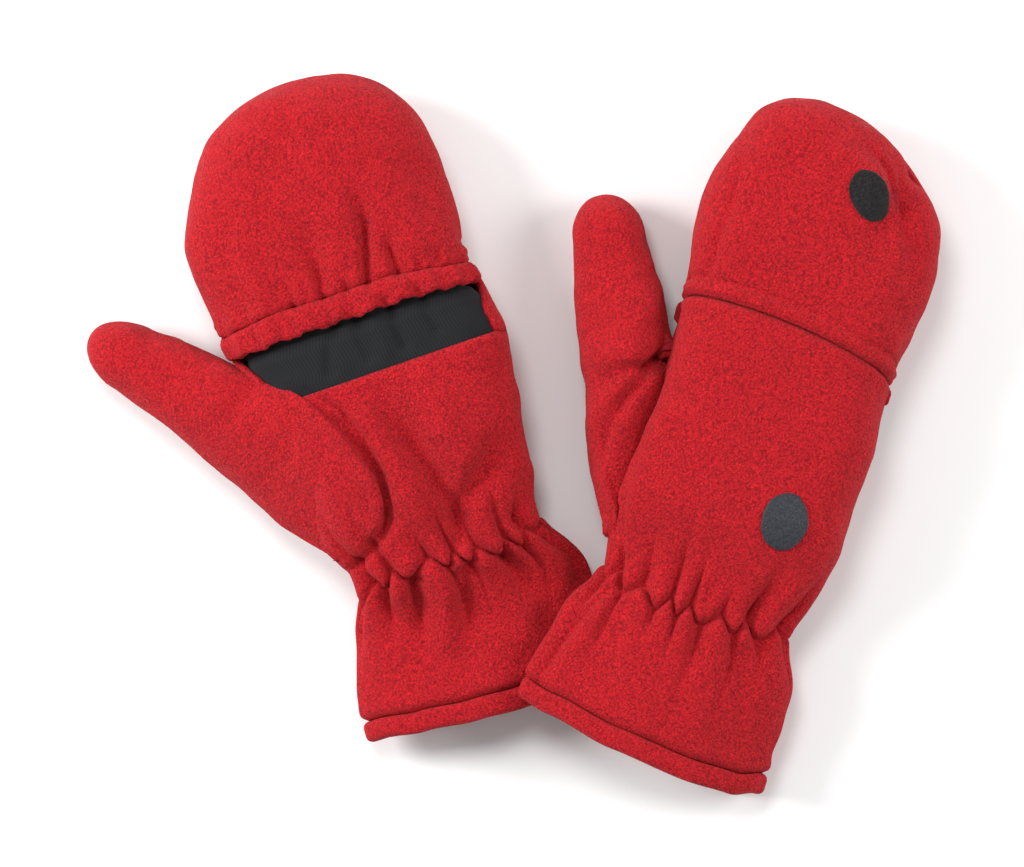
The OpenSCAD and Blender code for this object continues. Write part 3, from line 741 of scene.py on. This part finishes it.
def cap_panel(m, palm):
    form = forms[m.side]
    half = 1 if palm == m.right else 0
    far = form.w[-1] - 0.2
    s = np.linspace(0, 1, int(124 / FINE))[None, :]
    first = m.casing[1] + 0.4 if palm else m.knuckle + 0.8
    near_rows = spacing(first, first + 12, 0.8 * FINE)
    rows = np.concatenate([near_rows[:-1], spacing(first + 12, far, 1.15 * FINE)])
    w = np.repeat(rows[:, None], s.shape[1], 1)
    line = casing_line(s) if palm else knuckle_line(m, s) + 0.1 - first
    w = w + np.clip((first + 26 - w) / 26, 0, 1) * line
    d = w - first - line
    if palm:
        gather = casing_gather(m, s, 0.9) * np.exp(-(d / 6) ** 2) * (1 - np.exp(-d / 1.5))
        end = edge_groove(d, 1.7, 1.3) + gather
    else:
        end = edge_groove(d, 1.6, 1.2) + edge_groove(d - 3.4, -0.9, 1.9)
        end = end + edge_groove(d - 7.0, 1.1, 1.1)
    points = surface(form, half, w, s, extra=end)
    o = wrap_grid(f"{m.side}_cap_{'palm' if palm else 'back'}_fleece", m, points, flip=half == 0)
    thicken(o, FLEECE_PLY)
    base = form.sample(form.p, half, *np.broadcast_arrays(w, s))
    finish_piece(o, m, "cap", "fleece", ["cap_palm_panel" if palm else "cap_back_panel"], base)


def cap_casing(m):
    form = forms[m.side]
    half = 1 if m.right else 0
    s = np.linspace(0.012, 0.988, int(124 / FINE))[None, :]
    w, depth = spread(hem_profile(m.casing[0], m.casing[1] + 0.6, 4.0, proud=0.7), s)
    high = np.clip((w - m.casing[0]) / (m.casing[1] - m.casing[0]), 0, 1)
    w = w + casing_line(s) * (0.35 + 0.65 * high) + casing_gather(m, s, 0.55) * (w < m.casing[0] + 4)
    points = surface(form, half, w, s, depth, extra=casing_gather(m, s, 0.85) * (depth < 1.2))
    o = wrap_grid(f"{m.side}_cap_hem", m, points)
    weld_profile(o)
    with editing(o, "DESELECT"):
        bpy.ops.mesh.select_non_manifold()
        bpy.ops.mesh.edge_face_add()
        bpy.ops.mesh.select_all(action="SELECT")
        bpy.ops.mesh.normals_make_consistent(inside=False)
    finish_piece(o, m, "cap", "fleece", ["cap_casing"])


def casing_elastic(m):
    form = forms[m.side]
    half = 1 if m.right else 0
    s = np.linspace(0.03, 0.97, 100)[None, :]
    rows = spacing(m.casing[0] + 3.6, m.casing[1] - 0.6, 1.0)
    w = np.repeat(rows[:, None], s.shape[1], 1) + casing_line(s)
    points = surface(form, half, w, s, 1.5)
    o = wrap_grid(f"{m.side}_casing_elastic_tape", m, points, flip=half == 0)
    thicken(o, 0.8)
    finish_piece(o, m, "cap", "elastic", ["cap_elastic"])


for m in mittens:
    cap_panel(m, palm=False)
    cap_panel(m, palm=True)
    cap_casing(m)
    casing_elastic(m)

# %% [markdown]
# The thumb is a fleece tube sewn round an opening in the side seam. On the left mitten, palm up,
# its gusset spreads over the palm in a teardrop. The tube is lofted from the seam to the thumb's
# own tip, and a rounded dome closes it, as two sewn half shells would.

# %% Thumbs
# lean: degrees away from the fingers; reach and tip: lengths of the tube and its dome; puff: how
# far it swells out of its seam; high: its top there; blend: the share of its length over which it
# takes its own shape; outer, inner: how far its two edges stand off straight lines; top: its seam.
THUMB = {
    "right": dict(
        lean=26, reach=44, tip=18.4, puff=8.5, high=41.0, blend=0.5,
        outer=[[0, 0], [0.06, 2.5], [0.14, 4.6], [0.3, 5.2], [0.5, 3.4], [1, 3.9]],
        inner=[[0, 0], [0.25, -1.5], [0.5, -1.0], [0.75, 1.6], [1, 3.8]],
        top=[(-44, 84), (-48, 67), (-48.2, 50), (-46.2, 35), (-42.5, 21), (-38.5, 9)]),
    "left": dict(
        lean=41, reach=45, tip=18.2, puff=7.0, high=38.5, blend=0.75,
        outer=[[0, 0], [0.06, 3.5], [0.14, 6], [0.34, 5], [0.55, 1], [0.75, -2.6], [1, -1.8]],
        inner=[[0, 0], [0.35, -3.5], [0.65, -3], [1, 1]],
        top=[(-49, 84), (-35, 75), (-23, 56), (-17, 35), (-20, 20), (-37, 9)]),
}
THUMB_WIDTH = 28
THUMB_TOP, THUMB_UNDERSIDE = 29, -1
THUMB_FOLDS = {
    "right": [[(-43, 83, 5.0, 2.6), (-48, 77, 5.4, 2.6), (-58, 70.5, 3.4, 3.2), (-67, 62, 0.8, 4.5)],
              [(-46, 77, 3.0, 2.2), (-50.8, 68, 3.4, 2.6), (-54.9, 54, 3.0, 3), (-54.6, 40, 2.0, 3),
               (-52, 29, 0.5, 3.5)],
              [(-50, 74, -1.4, 2.2), (-57, 66, -2.0, 3.0), (-60, 50, -1.0, 4)],
              [(-49, 62, -1.0, 2.4), (-50.5, 46, -0.9, 2.6), (-48, 32, -0.4, 3)],
              [(-56, 78, -1.2, 4), (-68, 72, -0.8, 5)],
              [(-54, 92, 1.0, 4), (-66, 88, 0.8, 5), (-76, 80, 0.1, 6)]],
    "left": [[(-50, 84, 2.2, 3.5), (-62, 76, 1.6, 5), (-74, 70, 0.2, 6)],
             [(-38, 66, 1.0, 5), (-50, 52, 1.2, 6), (-60, 44, 0.2, 7)],
             [(-30, 24, 1.0, 4), (-42, 30, 0.9, 5), (-52, 34, 0.1, 6)]],
}


def on_form(form, half, u, w):
    """The share s across a half of the form where its section at w passes over u."""
    row = int(np.clip(round((w - form.w[0]) / STEP), 0, len(form.w) - 1))
    us = form.p[half, row, :, 0]
    return float(np.interp(-u, -us, np.linspace(0, 1, SIDE_POINTS)))


def u_at(form, half, w, s):
    return form.sample(form.p, half, np.array(w), np.array(s))[0]


def smooth_line(points, n):
    """n points on a smooth curve through the given ones, evenly spaced along it."""
    q = np.array(points, float)
    q = np.vstack([2 * q[0] - q[1], q, 2 * q[-1] - q[-2]])
    out = []
    for k in range(1, len(q) - 2):
        for t in np.linspace(0, 1, 24, endpoint=False):
            a, b, c, d = q[k - 1:k + 3]
            out.append(0.5 * (2 * b + (c - a) * t + (2 * a - 5 * b + 4 * c - d) * t * t
                              + (3 * b - a - 3 * c + d) * t ** 3))
    out.append(q[-2])
    out = np.array(out)
    length = np.concatenate([[0], np.cumsum(np.linalg.norm(np.diff(out, axis=0), axis=1))])
    return np.stack([np.interp(np.linspace(0, length[-1], n), length, out[:, k])
                     for k in range(out.shape[1])], 1)


def thumb_base(m, half_n):
    """The ring where the thumb is sewn to the hand: over the top of it, then back underneath."""
    form = forms[m.side]
    top = smooth_line(THUMB[m.side]["top"], half_n + 1)
    over = []
    for u, v in top:
        sink = 2.4 + 5.0 * min(max((v - 76) / 7, 0), 1)
        s = on_form(form, 0, u, v)
        over.append(surface(form, 0, np.array(v), np.array(s), sink, share=0.6))
    line = smooth_line([top[-1], (u_at(form, 1, 24.0, 0.93), 22.0), (u_at(form, 1, 50.0, 0.9), 50.0),
                        (u_at(form, 1, 72.0, 0.93), 74.0), top[0]], half_n + 1)
    under = []
    for k, (u, v) in enumerate(line):
        f = k / half_n
        near_end = math.cos(math.pi * f) ** 2
        z_end = over[-1][2] * (1 - f) + over[0][2] * f
        under.append([u, v, z_end * near_end + 5.0 * (1 - near_end)])
    return np.array(over[:-1] + under[:-1])


def thumb_rings(m, depth=0.0, points_round=120, first=0.0):
    """Rings of points from the seam to the tip; a lining starts later and lies deeper."""
    form = forms[m.side]
    cfg = THUMB[m.side]
    lean = math.radians(cfg["lean"])
    ahead = np.array([-math.sin(lean), math.cos(lean)])
    across = np.array([-math.cos(lean), -math.sin(lean)])
    in0 = np.array([u_at(form, 0, 84.0, 1.0) - 1, 84.0])
    out0 = np.array([u_at(form, 0, 10.0, 1.0) - 2, 10.0])
    in1 = in0 + cfg["reach"] * ahead
    out1 = in1 + THUMB_WIDTH * across
    base = thumb_base(m, points_round // 2)
    t = np.linspace(0, 2 * math.pi, len(base), endpoint=False)
    c, h = signed_power(np.cos(t), 0.9), signed_power(np.sin(t), 0.9)

    def tube(f, grow, on):
        a = out0 + (out1 - out0) * f + across * along(cfg["outer"], np.array(float(f)))
        b = in0 + (in1 - in0) * f + across * along(cfg["inner"], np.array(float(f)))
        run = np.linalg.norm(b - a) / 2
        direction = (b - a) / (2 * run)
        g = f ** 0.7 if f > 0 else 0
        high = cfg["high"] + (THUMB_TOP - cfg["high"]) * g
        low = 4.5 + (THUMB_UNDERSIDE - 4.5) * g
        plan = (a + b) / 2 + ahead * on + direction * (run * grow * c)[:, None]
        return np.column_stack([plan, (high + low) / 2 + (high - low) / 2 * grow * h])

    rings = []
    fs = np.concatenate([[0, 0.008, 0.018, 0.03, 0.045, 0.065, 0.09],
                         np.linspace(0.12, 1, int(60 / FINE))])
    for f in fs[fs >= first]:
        k = np.clip(f / cfg["blend"], 0, 1)
        k = k * k * (3 - 2 * k) * 0.6 + 0.4 * k
        ring = base * (1 - k) + tube(f, 1, 0) * k
        swell = cfg["puff"] * (1 - math.exp(-f / 0.024)) * (1 - f) ** 1.5
        ring[:, 2] += swell * np.clip(t / 0.8, 0, 1) ** 1.2 * np.clip(np.sin(t), 0, 1) ** 0.8
        rings.append(ring)
    for angle in np.radians(np.linspace(3, 88, int(26 / FINE))):
        rings.append(tube(1, math.cos(angle), cfg["tip"] * math.sin(angle)))
    rings = np.array(rings)
    closed = np.concatenate([rings, rings[:, :1]], 1)
    seam = closed[0].copy()
    for _ in range(3):
        wrapped = np.concatenate([closed[:, -2:-1], closed, closed[:, 1:2]], 1)
        closed = (wrapped[:, :-2] + 2 * closed + wrapped[:, 2:]) / 4
        closed[1:-1] = (closed[:-2] + 2 * closed[1:-1] + closed[2:]) / 4
        closed[0] = seam
    wrapped = np.concatenate([closed[:, -3:-1], closed, closed[:, 1:3]], 1)
    n = np.cross(np.gradient(closed, axis=0), np.gradient(wrapped, axis=1)[:, 2:-2])
    n /= np.maximum(np.linalg.norm(n, axis=2, keepdims=True), 1e-9)
    push = 0.5 * lumps(closed, 26, 11) + 0.18 * lumps(closed, 11, 12)
    for line in THUMB_FOLDS[m.side]:
        x, d = distance_along(line, closed[..., 0], closed[..., 1])
        push = push - d * np.exp(-x) * (n[..., 2] > -0.2)
    push[:2] = 0
    closed = closed + n * (push - depth)[..., None]
    closed[:, -1] = closed[:, 0]
    closed[..., 2] = np.maximum(closed[..., 2], 0.02 + 0.3 * depth)
    return closed


def close_tip(o, m, last):
    """Fills the small hole that is left at the end of a dome."""
    rim = m.world(last) * MM
    fill(o, [np.linalg.norm(rim - np.array(v.co), axis=1).min() < 1e-5 for v in o.data.vertices])


def thumb(m, lining):
    points = thumb_rings(m, depth=3.6 if lining else 0.0, first=0.12 if lining else 0.0)
    name = f"{m.side}_thumb_lining_cloth" if lining else f"{m.side}_thumb_fleece"
    o = wrap_grid(name, m, points, closed=True, flip=True)
    close_tip(o, m, points[-1])
    thicken(o, LINING_PLY if lining else FLEECE_PLY)
    finish_piece(o, m, "hand", "lining_fleece" if lining else "fleece",
                 ["thumb_lining" if lining else "thumb_sheath"], points)


for m in mittens:
    thumb(m, lining=False)
    thumb(m, lining=True)

# %% [markdown]
# Under the cap a black rib-knit band goes round the hand and four short stalls grow from it. Knit
# is thin and springy, so the band is a smooth tube that tucks in under the cap's casing, and the
# ribs are in the material, where they can follow the UV map; the grooves of the ribs are painted
# darker, as painted shade.

# %% Knit band, stalls and knuckle binding


def knit_band(m):
    form = forms[m.side]
    stations = [[m.palm_end - 3, 2.7], [m.palm_end + 6, 2.6], [m.palm_end + 15, 2.9],
                [m.palm_end + 19, 4.6], [m.palm_end + 22, 7.2], [m.palm_end + 26, 8.4]]
    rows = spacing(stations[0][0], stations[-1][0], 1.0)
    rows = list(zip(rows, along(stations, rows)))
    points = round_the_hand(form, rows, 220, share=0.7)
    o = wrap_grid(f"{m.side}_knit_band_rib", m, points, closed=True, flip=True)
    thicken(o, KNIT_PLY)
    finish_piece(o, m, "hand", "rib_knit", ["knit_band"], points)


# From the index finger on: the name of each stall and how far it stands out of the band
STALLS = [("index", 27), ("middle", 31), ("ring", 29), ("little", 23)]
STALL_INSET = 8.6


def stall(m, finger, name, length):
    form = forms[m.side]
    start = m.palm_end + 26.4
    left, right = u_at(form, 0, 100.0, 1.0) + STALL_INSET, u_at(form, 0, 100.0, 0.0) - STALL_INSET
    pitch = (right - left) / len(STALLS)
    u0 = left + pitch * (finger + 0.5)
    near, tuck = 9.6, 8.6
    radius = m.height - 4.2 - 3.5
    t = np.linspace(0, 2 * math.pi, 49)
    c, h = signed_power(np.cos(t), 0.8), signed_power(np.sin(t), 0.8)
    rings = []
    for f in np.linspace(0, 1, 26):
        v = start + length * f
        far = min(m.height - tuck, math.sqrt(radius ** 2 - (v - m.knuckle) ** 2))
        centre, rise = (near + far) / 2, (far - near) / 2
        run = (pitch - 0.4) / 2 * (1 - 0.1 * f)
        to_end = (1 - f) * length
        lip = 0.5 * math.exp(-(to_end / 1.2) ** 2) - 0.5 * math.exp(-(to_end - 3) ** 2)
        wave = 0.35 * np.sin(3 * t + finger) + 0.3 * np.sin(2 * t + 9 * f + finger)
        z = centre + (rise + lip + wave - 0.6) * h
        rings.append(np.column_stack([u0 + (run + lip + wave - 0.7) * c, np.full(len(t), v),
                                      m.height - z if m.right else z]))
    points = np.array(rings)
    points[:, -1] = points[:, 0]
    o = wrap_grid(f"{m.side}_{name}_stall_rib", m, points, closed=True, flip=not m.right)
    thicken(o, KNIT_PLY)
    finish_piece(o, m, "hand", "rib_knit", [f"{name}_stall"], points)


def knuckle_binding(m):
    form = forms[m.side]
    half = 0 if m.right else 1
    s = np.linspace(0.2, 0.8, 90)[None, :]
    rows = [(m.knuckle - 1.4, 2.9), (m.knuckle - 0.9, 4.2), (m.knuckle - 1.2, 6.2),
            (m.knuckle - 3.5, 8.0), (m.knuckle - 6.2, 8.6)]
    w, depth = spread(smooth_line(rows, 14), s)
    points = surface(form, half, w, s, depth, share=0.7)
    o = wrap_grid(f"{m.side}_knuckle_binding_rib", m, points, flip=half == 0)
    thicken(o, 0.9)
    finish_piece(o, m, "hand", "rib_knit", ["knuckle_binding"])


for m in mittens:
    knit_band(m)
    for k, (name, length) in enumerate(STALLS):
        stall(m, k, name, length)
    knuckle_binding(m)

# %% [markdown]
# The hook disc on the back of the hand and the loop disc on the cap are cut from tape and sewn on.
# A disc is a grid of rings that lies on the cloth, with a turned-down, slightly ragged edge.

# %% Hook and loop discs


# How each disc lies: its body, its width and its size against the designed disc, and its tilt
DISC = {"hook": dict(body="hand", narrow=0.80, size=1.0, tilt=0.1),
        "loop": dict(body="cap", narrow=0.70, size=0.92, tilt=0.85)}


def along_form(form, v):
    """The w at which the form reaches v, also round the tip of the cap."""
    if v < form.start:
        return v
    share = math.asin(min(1, (v - form.start) / (form.m.tip - form.start))) / (math.pi / 2)
    return form.start + (form.w[-1] - form.start) * share


def disc(m, kind):
    form = forms[m.side]
    half = 0 if m.right else 1
    cfg = DISC[kind]
    outline = m.local(node_points(f"{m.side}_{kind}_disc"))
    centre = (outline.min(0) + outline.max(0)) / 2
    radius = cfg["size"] * (outline[:, 0].max() - outline[:, 0].min()) / 2
    cos_tilt, sin_tilt = math.cos(cfg["tilt"]), math.sin(cfg["tilt"])
    angles = np.linspace(0, 2 * math.pi, 97)
    ragged = 1 + 0.012 * np.sin(5 * angles + 1) + 0.008 * np.sin(11 * angles)
    rings = [(1.0, 0.3), (1.0, -0.35), (0.985, -0.75), (0.93, -1.0)]
    rings += [(r, -1.05 - 0.15 * (1 - r)) for r in np.linspace(0.88, 0.06, 14)]
    rows = []
    for r, depth in rings:
        row = []
        for a, k in zip(angles, ragged):
            x, y = radius * r * k * cfg["narrow"] * math.cos(a), radius * r * k * math.sin(a)
            w = along_form(form, centre[1] + x * sin_tilt + y * cos_tilt)
            row.append((w, on_form(form, half, centre[0] + x * cos_tilt - y * sin_tilt, w), depth))
        rows.append(row)
    points = surface(form, half, *np.moveaxis(np.array(rows), 2, 0))
    points[:, -1] = points[:, 0]
    if not m.right:
        points[..., 2] = np.maximum(points[..., 2], 0.05)
    o = wrap_grid(f"{m.side}_{kind}_tape", m, points, closed=True)
    close_tip(o, m, points[-1])
    with editing(o):
        bpy.ops.mesh.normals_make_consistent(inside=False)
    finish_piece(o, m, cfg["body"], f"{kind}_tape", [f"{kind}_disc"])


for m in mittens:
    for kind in DISC:
        disc(m, kind)

# %% [markdown]
# Fleece is a pile of fine curls. At arm's length it reads as small bright tufts on a darker ground,
# about a millimetre across. The curls come from a noise and a cell pattern in the piece's own
# coordinates, used for both the colour and the bump, so they line up, and the darker ground between
# the tufts is painted shade in the hollows of the pile. All the groups end alike: a pattern mixes a
# dark and a light tone, and a height goes out for the bump.

# %% Shader groups


def new_group(name, dark, light, **numbers):
    """A group with two tones and some numbers going in, and a colour and a height coming out."""
    g = bpy.data.node_groups.new(name, "ShaderNodeTree")
    inputs = [("Dark", "NodeSocketColor", (*dark, 1)), ("Light", "NodeSocketColor", (*light, 1))]
    inputs += [(label, "NodeSocketFloat", value) for label, value in numbers.items()]
    for label, kind, value in inputs:
        g.interface.new_socket(label, in_out="INPUT", socket_type=kind).default_value = value
    for label, kind in (("Color", "NodeSocketColor"), ("Height", "NodeSocketFloat")):
        g.interface.new_socket(label, in_out="OUTPUT", socket_type=kind)
    return g, g.nodes.new("NodeGroupInput"), g.nodes.new("NodeGroupOutput")


def feed(tree, socket, value):
    """Gives a socket a plain number, or links another socket to it."""
    if isinstance(value, (int, float)):
        socket.default_value = value
    else:
        tree.links.new(value, socket)


def math_node(tree, op, a, b=None):
    n = tree.nodes.new("ShaderNodeMath")
    n.operation = op
    feed(tree, n.inputs[0], a)
    if b is not None:
        feed(tree, n.inputs[1], b)
    return n.outputs[0]


def noise(tree, where, **values):
    n = tree.nodes.new("ShaderNodeTexNoise")
    tree.links.new(where, n.inputs["Vector"])
    for key, value in values.items():
        feed(tree, n.inputs[key], value)
    return n.outputs["Fac"]


def mix_tones(g, gin, gout, pattern, low, high, height):
    """Mixes Dark and Light as the pattern runs from low to high, and wires the group's ends."""
    tone = g.nodes.new("ShaderNodeMapRange")
    for key, value in (("Value", pattern), ("From Min", low), ("From Max", high)):
        feed(g, tone.inputs[key], value)
    mix = g.nodes.new("ShaderNodeMix")
    mix.data_type = "RGBA"
    g.links.new(tone.outputs["Result"], mix.inputs["Factor"])
    g.links.new(gin.outputs["Dark"], mix.inputs["A"])
    g.links.new(gin.outputs["Light"], mix.inputs["B"])
    g.links.new(mix.outputs["Result"], gout.inputs["Color"])
    g.links.new(height, gout.inputs["Height"])
    return g


def curly_pile_group():
    g, gin, gout = new_group("curly_pile", (0.3, 0.0, 0.01), (0.8, 0.1, 0.1), Scale=700.0)
    where, scale = g.nodes.new("ShaderNodeTexCoord").outputs["Object"], gin.outputs["Scale"]
    curls = noise(g, where, Scale=scale, Detail=2.5, Roughness=0.62, Distortion=1.6)
    patches = noise(g, where, Scale=60, Detail=3)
    tufts = g.nodes.new("ShaderNodeTexVoronoi")
    tufts.feature = "SMOOTH_F1"
    tufts.inputs["Smoothness"].default_value = 0.6
    g.links.new(where, tufts.inputs["Vector"])
    g.links.new(math_node(g, "MULTIPLY", scale, 1.15), tufts.inputs["Scale"])
    tuft = math_node(g, "SUBTRACT", 1.0, tufts.outputs["Distance"])
    height = math_node(g, "ADD", math_node(g, "MULTIPLY", curls, 0.75),
                       math_node(g, "MULTIPLY", tuft, 0.35))
    pattern = math_node(g, "ADD", height, math_node(g, "MULTIPLY", patches, 0.03))
    # painted shade: the colour follows the height, so the hollows between the curls take the dark tone and the
    # tips of the curls the light one; the slow patches add a little tone that differs at random
    return mix_tones(g, gin, gout, pattern, 0.42, 0.80, height)


def rib_group():
    g, gin, gout = new_group("knit_ribs", (0.01, 0.01, 0.01), (0.04, 0.04, 0.045),
                             Rib=1 / 0.0021, Stitch=1 / 0.0016)
    cloth = g.nodes.new("ShaderNodeUVMap")
    cloth.uv_map = "Cloth"
    split = g.nodes.new("ShaderNodeSeparateXYZ")
    g.links.new(cloth.outputs["UV"], split.inputs["Vector"])

    def turns(axis, count):
        cycles = math_node(g, "MULTIPLY", split.outputs[axis], gin.outputs[count])
        return math_node(g, "MULTIPLY", cycles, 2 * math.pi)

    rib = math_node(g, "SINE", turns("X", "Rib"))
    slant = math_node(g, "MULTIPLY", math_node(g, "ABSOLUTE", rib), 2.2)
    stitch = math_node(g, "SINE", math_node(g, "ADD", turns("Y", "Stitch"), slant))
    fuzz = noise(g, g.nodes.new("ShaderNodeTexCoord").outputs["Object"], Scale=1800, Detail=3)
    height = math_node(g, "ADD", math_node(g, "MULTIPLY", rib, 0.32),
                       math_node(g, "ADD", math_node(g, "MULTIPLY", stitch, 0.12),
                                 math_node(g, "MULTIPLY", fuzz, 0.5)))
    # painted shade: the colour follows the height, so the grooves of the ribs and stitches take the dark tone
    return mix_tones(g, gin, gout, height, -0.1, 0.62, height)


def speck_group():
    g, gin, gout = new_group("tape_specks", (0.02, 0.02, 0.025), (0.2, 0.22, 0.28),
                             Scale=1500.0, Low=0.5)
    hooks = noise(g, g.nodes.new("ShaderNodeTexCoord").outputs["Object"],
                  Scale=gin.outputs["Scale"], Detail=3, Roughness=0.7)
    # painted shade: the colour follows the height, so the hollows between the hooks and loops take the dark tone
    # and their raised tops the light one
    return mix_tones(g, gin, gout, hooks, gin.outputs["Low"], 0.74, hooks)


groups = {"pile": curly_pile_group(), "rib": rib_group(), "speck": speck_group()}
print("shader groups:", [g.name for g in groups.values()])

# %% [markdown]
# Each finish is its own material. The group gives the pattern, and the values that are the same all
# over, such as roughness and sheen, are set on the shader itself.

# %% Materials


def cloth_material(name, group, dark, light, bump, depth, roughness, sheen=0.0, tint=None,
                   specular=0.2, **numbers):
    """A Principled material; bump is the strength and depth the distance of the Bump node."""
    mat = bpy.data.materials.new(name)
    mat.use_nodes = True
    tree = mat.node_tree
    shader = tree.nodes["Principled BSDF"]
    node = tree.nodes.new("ShaderNodeGroup")
    node.node_tree = groups[group]
    relief_node = tree.nodes.new("ShaderNodeBump")
    for target, values in (
            (node, {"Dark": (*dark, 1), "Light": (*light, 1), **numbers}),
            (relief_node, {"Strength": bump, "Distance": depth}),
            (shader, {"Roughness": roughness, "Specular IOR Level": specular, "Sheen Weight": sheen,
                      "Sheen Roughness": 0.55})):
        for key, value in values.items():
            target.inputs[key].default_value = value
    if tint:
        shader.inputs["Sheen Tint"].default_value = (*tint, 1)
    tree.links.new(node.outputs["Height"], relief_node.inputs["Height"])
    tree.links.new(node.outputs["Color"], shader.inputs["Base Color"])
    tree.links.new(relief_node.outputs["Normal"], shader.inputs["Normal"])
    mat.diffuse_color = (*light, 1)
    return mat


materials = {
    # in the two fleeces, the dark tone is the painted shade in the hollows of the pile
    "fleece": cloth_material(
        "red_fleece", "pile", dark=(0.24, 0.002, 0.006), light=(0.74, 0.012, 0.022), bump=1.0,
        depth=0.0013, roughness=0.9, sheen=0.14, tint=(1.0, 0.24, 0.24), Scale=1000.0),
    "lining_fleece": cloth_material(
        "red_lining_fleece", "pile", dark=(0.2, 0.003, 0.01), light=(0.5, 0.02, 0.035), bump=0.6,
        depth=0.0005, roughness=0.95, sheen=0.2, tint=(1.0, 0.4, 0.4), Scale=900.0),
    # in the knit and the elastic, the dark tone is the painted shade in the grooves of the ribs and stitches
    "rib_knit": cloth_material(
        "black_rib_knit", "rib", dark=(0.008, 0.008, 0.009), light=(0.014, 0.015, 0.017), bump=0.3,
        depth=0.00015, roughness=0.9, sheen=0.06, tint=(0.6, 0.65, 0.7), Rib=1 / 0.0013,
        Stitch=1 / 0.0011),
    "elastic": cloth_material(
        "white_elastic", "rib", dark=(0.55, 0.55, 0.52), light=(0.9, 0.9, 0.88), bump=0.6,
        depth=0.0004, roughness=0.6, Rib=1 / 0.0012, Stitch=1 / 0.0009),
    # in the two tapes, the dark tone is the painted shade between the raised hooks and loops
    "hook_tape": cloth_material(
        "grey_hook_tape", "speck", dark=(0.007, 0.008, 0.011), light=(0.046, 0.051, 0.069),
        bump=0.9, depth=0.0005, roughness=0.5, sheen=0.1, tint=(0.7, 0.8, 1.0), specular=0.4,
        Scale=1500.0, Low=0.44),
    "loop_tape": cloth_material(
        "dark_loop_tape", "speck", dark=(0.005, 0.0045, 0.0045), light=(0.027, 0.024, 0.024),
        bump=0.9, depth=0.0006, roughness=0.9, sheen=0.15, tint=(0.6, 0.58, 0.58),
        Scale=1300.0, Low=0.4),
}
for o, slot in pieces.values():
    o.data.materials.clear()
    o.data.materials.append(materials[slot])
print("materials:", sorted(materials), "on", len(pieces), "pieces")

# %% [markdown]
# The mittens lie on a plain pale table and are seen from straight above through a long lens, which
# keeps the outlines true. Broad soft lights leave gentle shading in the folds.

# %% Table, lights and camera
middle_x, middle_y = ((cad_box[0][k] + cad_box[1][k]) / 2 for k in (0, 1))
bpy.ops.object.select_all(action="DESELECT")
bpy.ops.mesh.primitive_plane_add(size=8, location=(middle_x, middle_y, 0))
table_top = bpy.context.active_object
table_top.name = "table"
bpy.ops.object.mode_set(mode="EDIT")
bpy.ops.mesh.subdivide(number_cuts=4)
bpy.ops.object.mode_set(mode="OBJECT")
table_mat = bpy.data.materials.new("pale_table")
table_mat.use_nodes = True
table_shader = table_mat.node_tree.nodes["Principled BSDF"]
table_noise = table_mat.node_tree.nodes.new("ShaderNodeTexNoise")
table_noise.inputs["Scale"].default_value = 3
table_ramp = table_mat.node_tree.nodes.new("ShaderNodeMapRange")
table_ramp.inputs["To Min"].default_value = 0.88
table_ramp.inputs["To Max"].default_value = 0.9
table_mat.node_tree.links.new(table_noise.outputs["Fac"], table_ramp.inputs["Value"])
table_mat.node_tree.links.new(table_ramp.outputs["Result"], table_shader.inputs["Base Color"])
table_shader.inputs["Roughness"].default_value = 0.95
table_shader.inputs["Specular IOR Level"].default_value = 0.1
table_top.data.materials.append(table_mat)


def soft_light(name, place, target, size, power):
    data = bpy.data.lights.new(name, "AREA")
    data.shape = "DISK"
    data.size = size
    data.energy = power
    o = bpy.data.objects.new(name, data)
    bpy.context.scene.collection.objects.link(o)
    o.location = place
    o.rotation_euler = (Vector(target) - Vector(place)).to_track_quat("-Z", "Y").to_euler()


# The name of each light, its place from the middle of the pair, its diameter and its watts
LIGHTS = [("left_light", (-1.3, 0.35, 0.85), 0.7, 26), ("right_light", (1.3, 0.25, 0.9), 0.8, 13),
          ("top_light", (-0.3, 0.8, 1.8), 0.7, 15)]
for name, (x, y, z), size, watts in LIGHTS:
    soft_light(name, (middle_x + x, middle_y + y, z), (middle_x, middle_y, 0.02), size, watts)

world = bpy.data.worlds.new("studio")
bpy.context.scene.world = world
world.use_nodes = True
world.node_tree.nodes["Background"].inputs["Color"].default_value = (1, 1, 1, 1)
world.node_tree.nodes["Background"].inputs["Strength"].default_value = 0.43

WIDE = 0.3891
DISTANCE = 3.0
camera_data = bpy.data.cameras.new("camera")
camera_data.sensor_width = 36
camera_data.lens = 36 * (DISTANCE - 0.02) / WIDE
camera_data.clip_end = 20
camera = bpy.data.objects.new("camera", camera_data)
bpy.context.scene.collection.objects.link(camera)
camera.location = (middle_x - 0.0012, middle_y - 0.0011, DISTANCE)
camera.rotation_euler = (0, 0, 0)
bpy.context.scene.camera = camera
bpy.context.scene.view_settings.view_transform = "Standard"
print("camera is", DISTANCE, "m up and sees", WIDE, "m across")
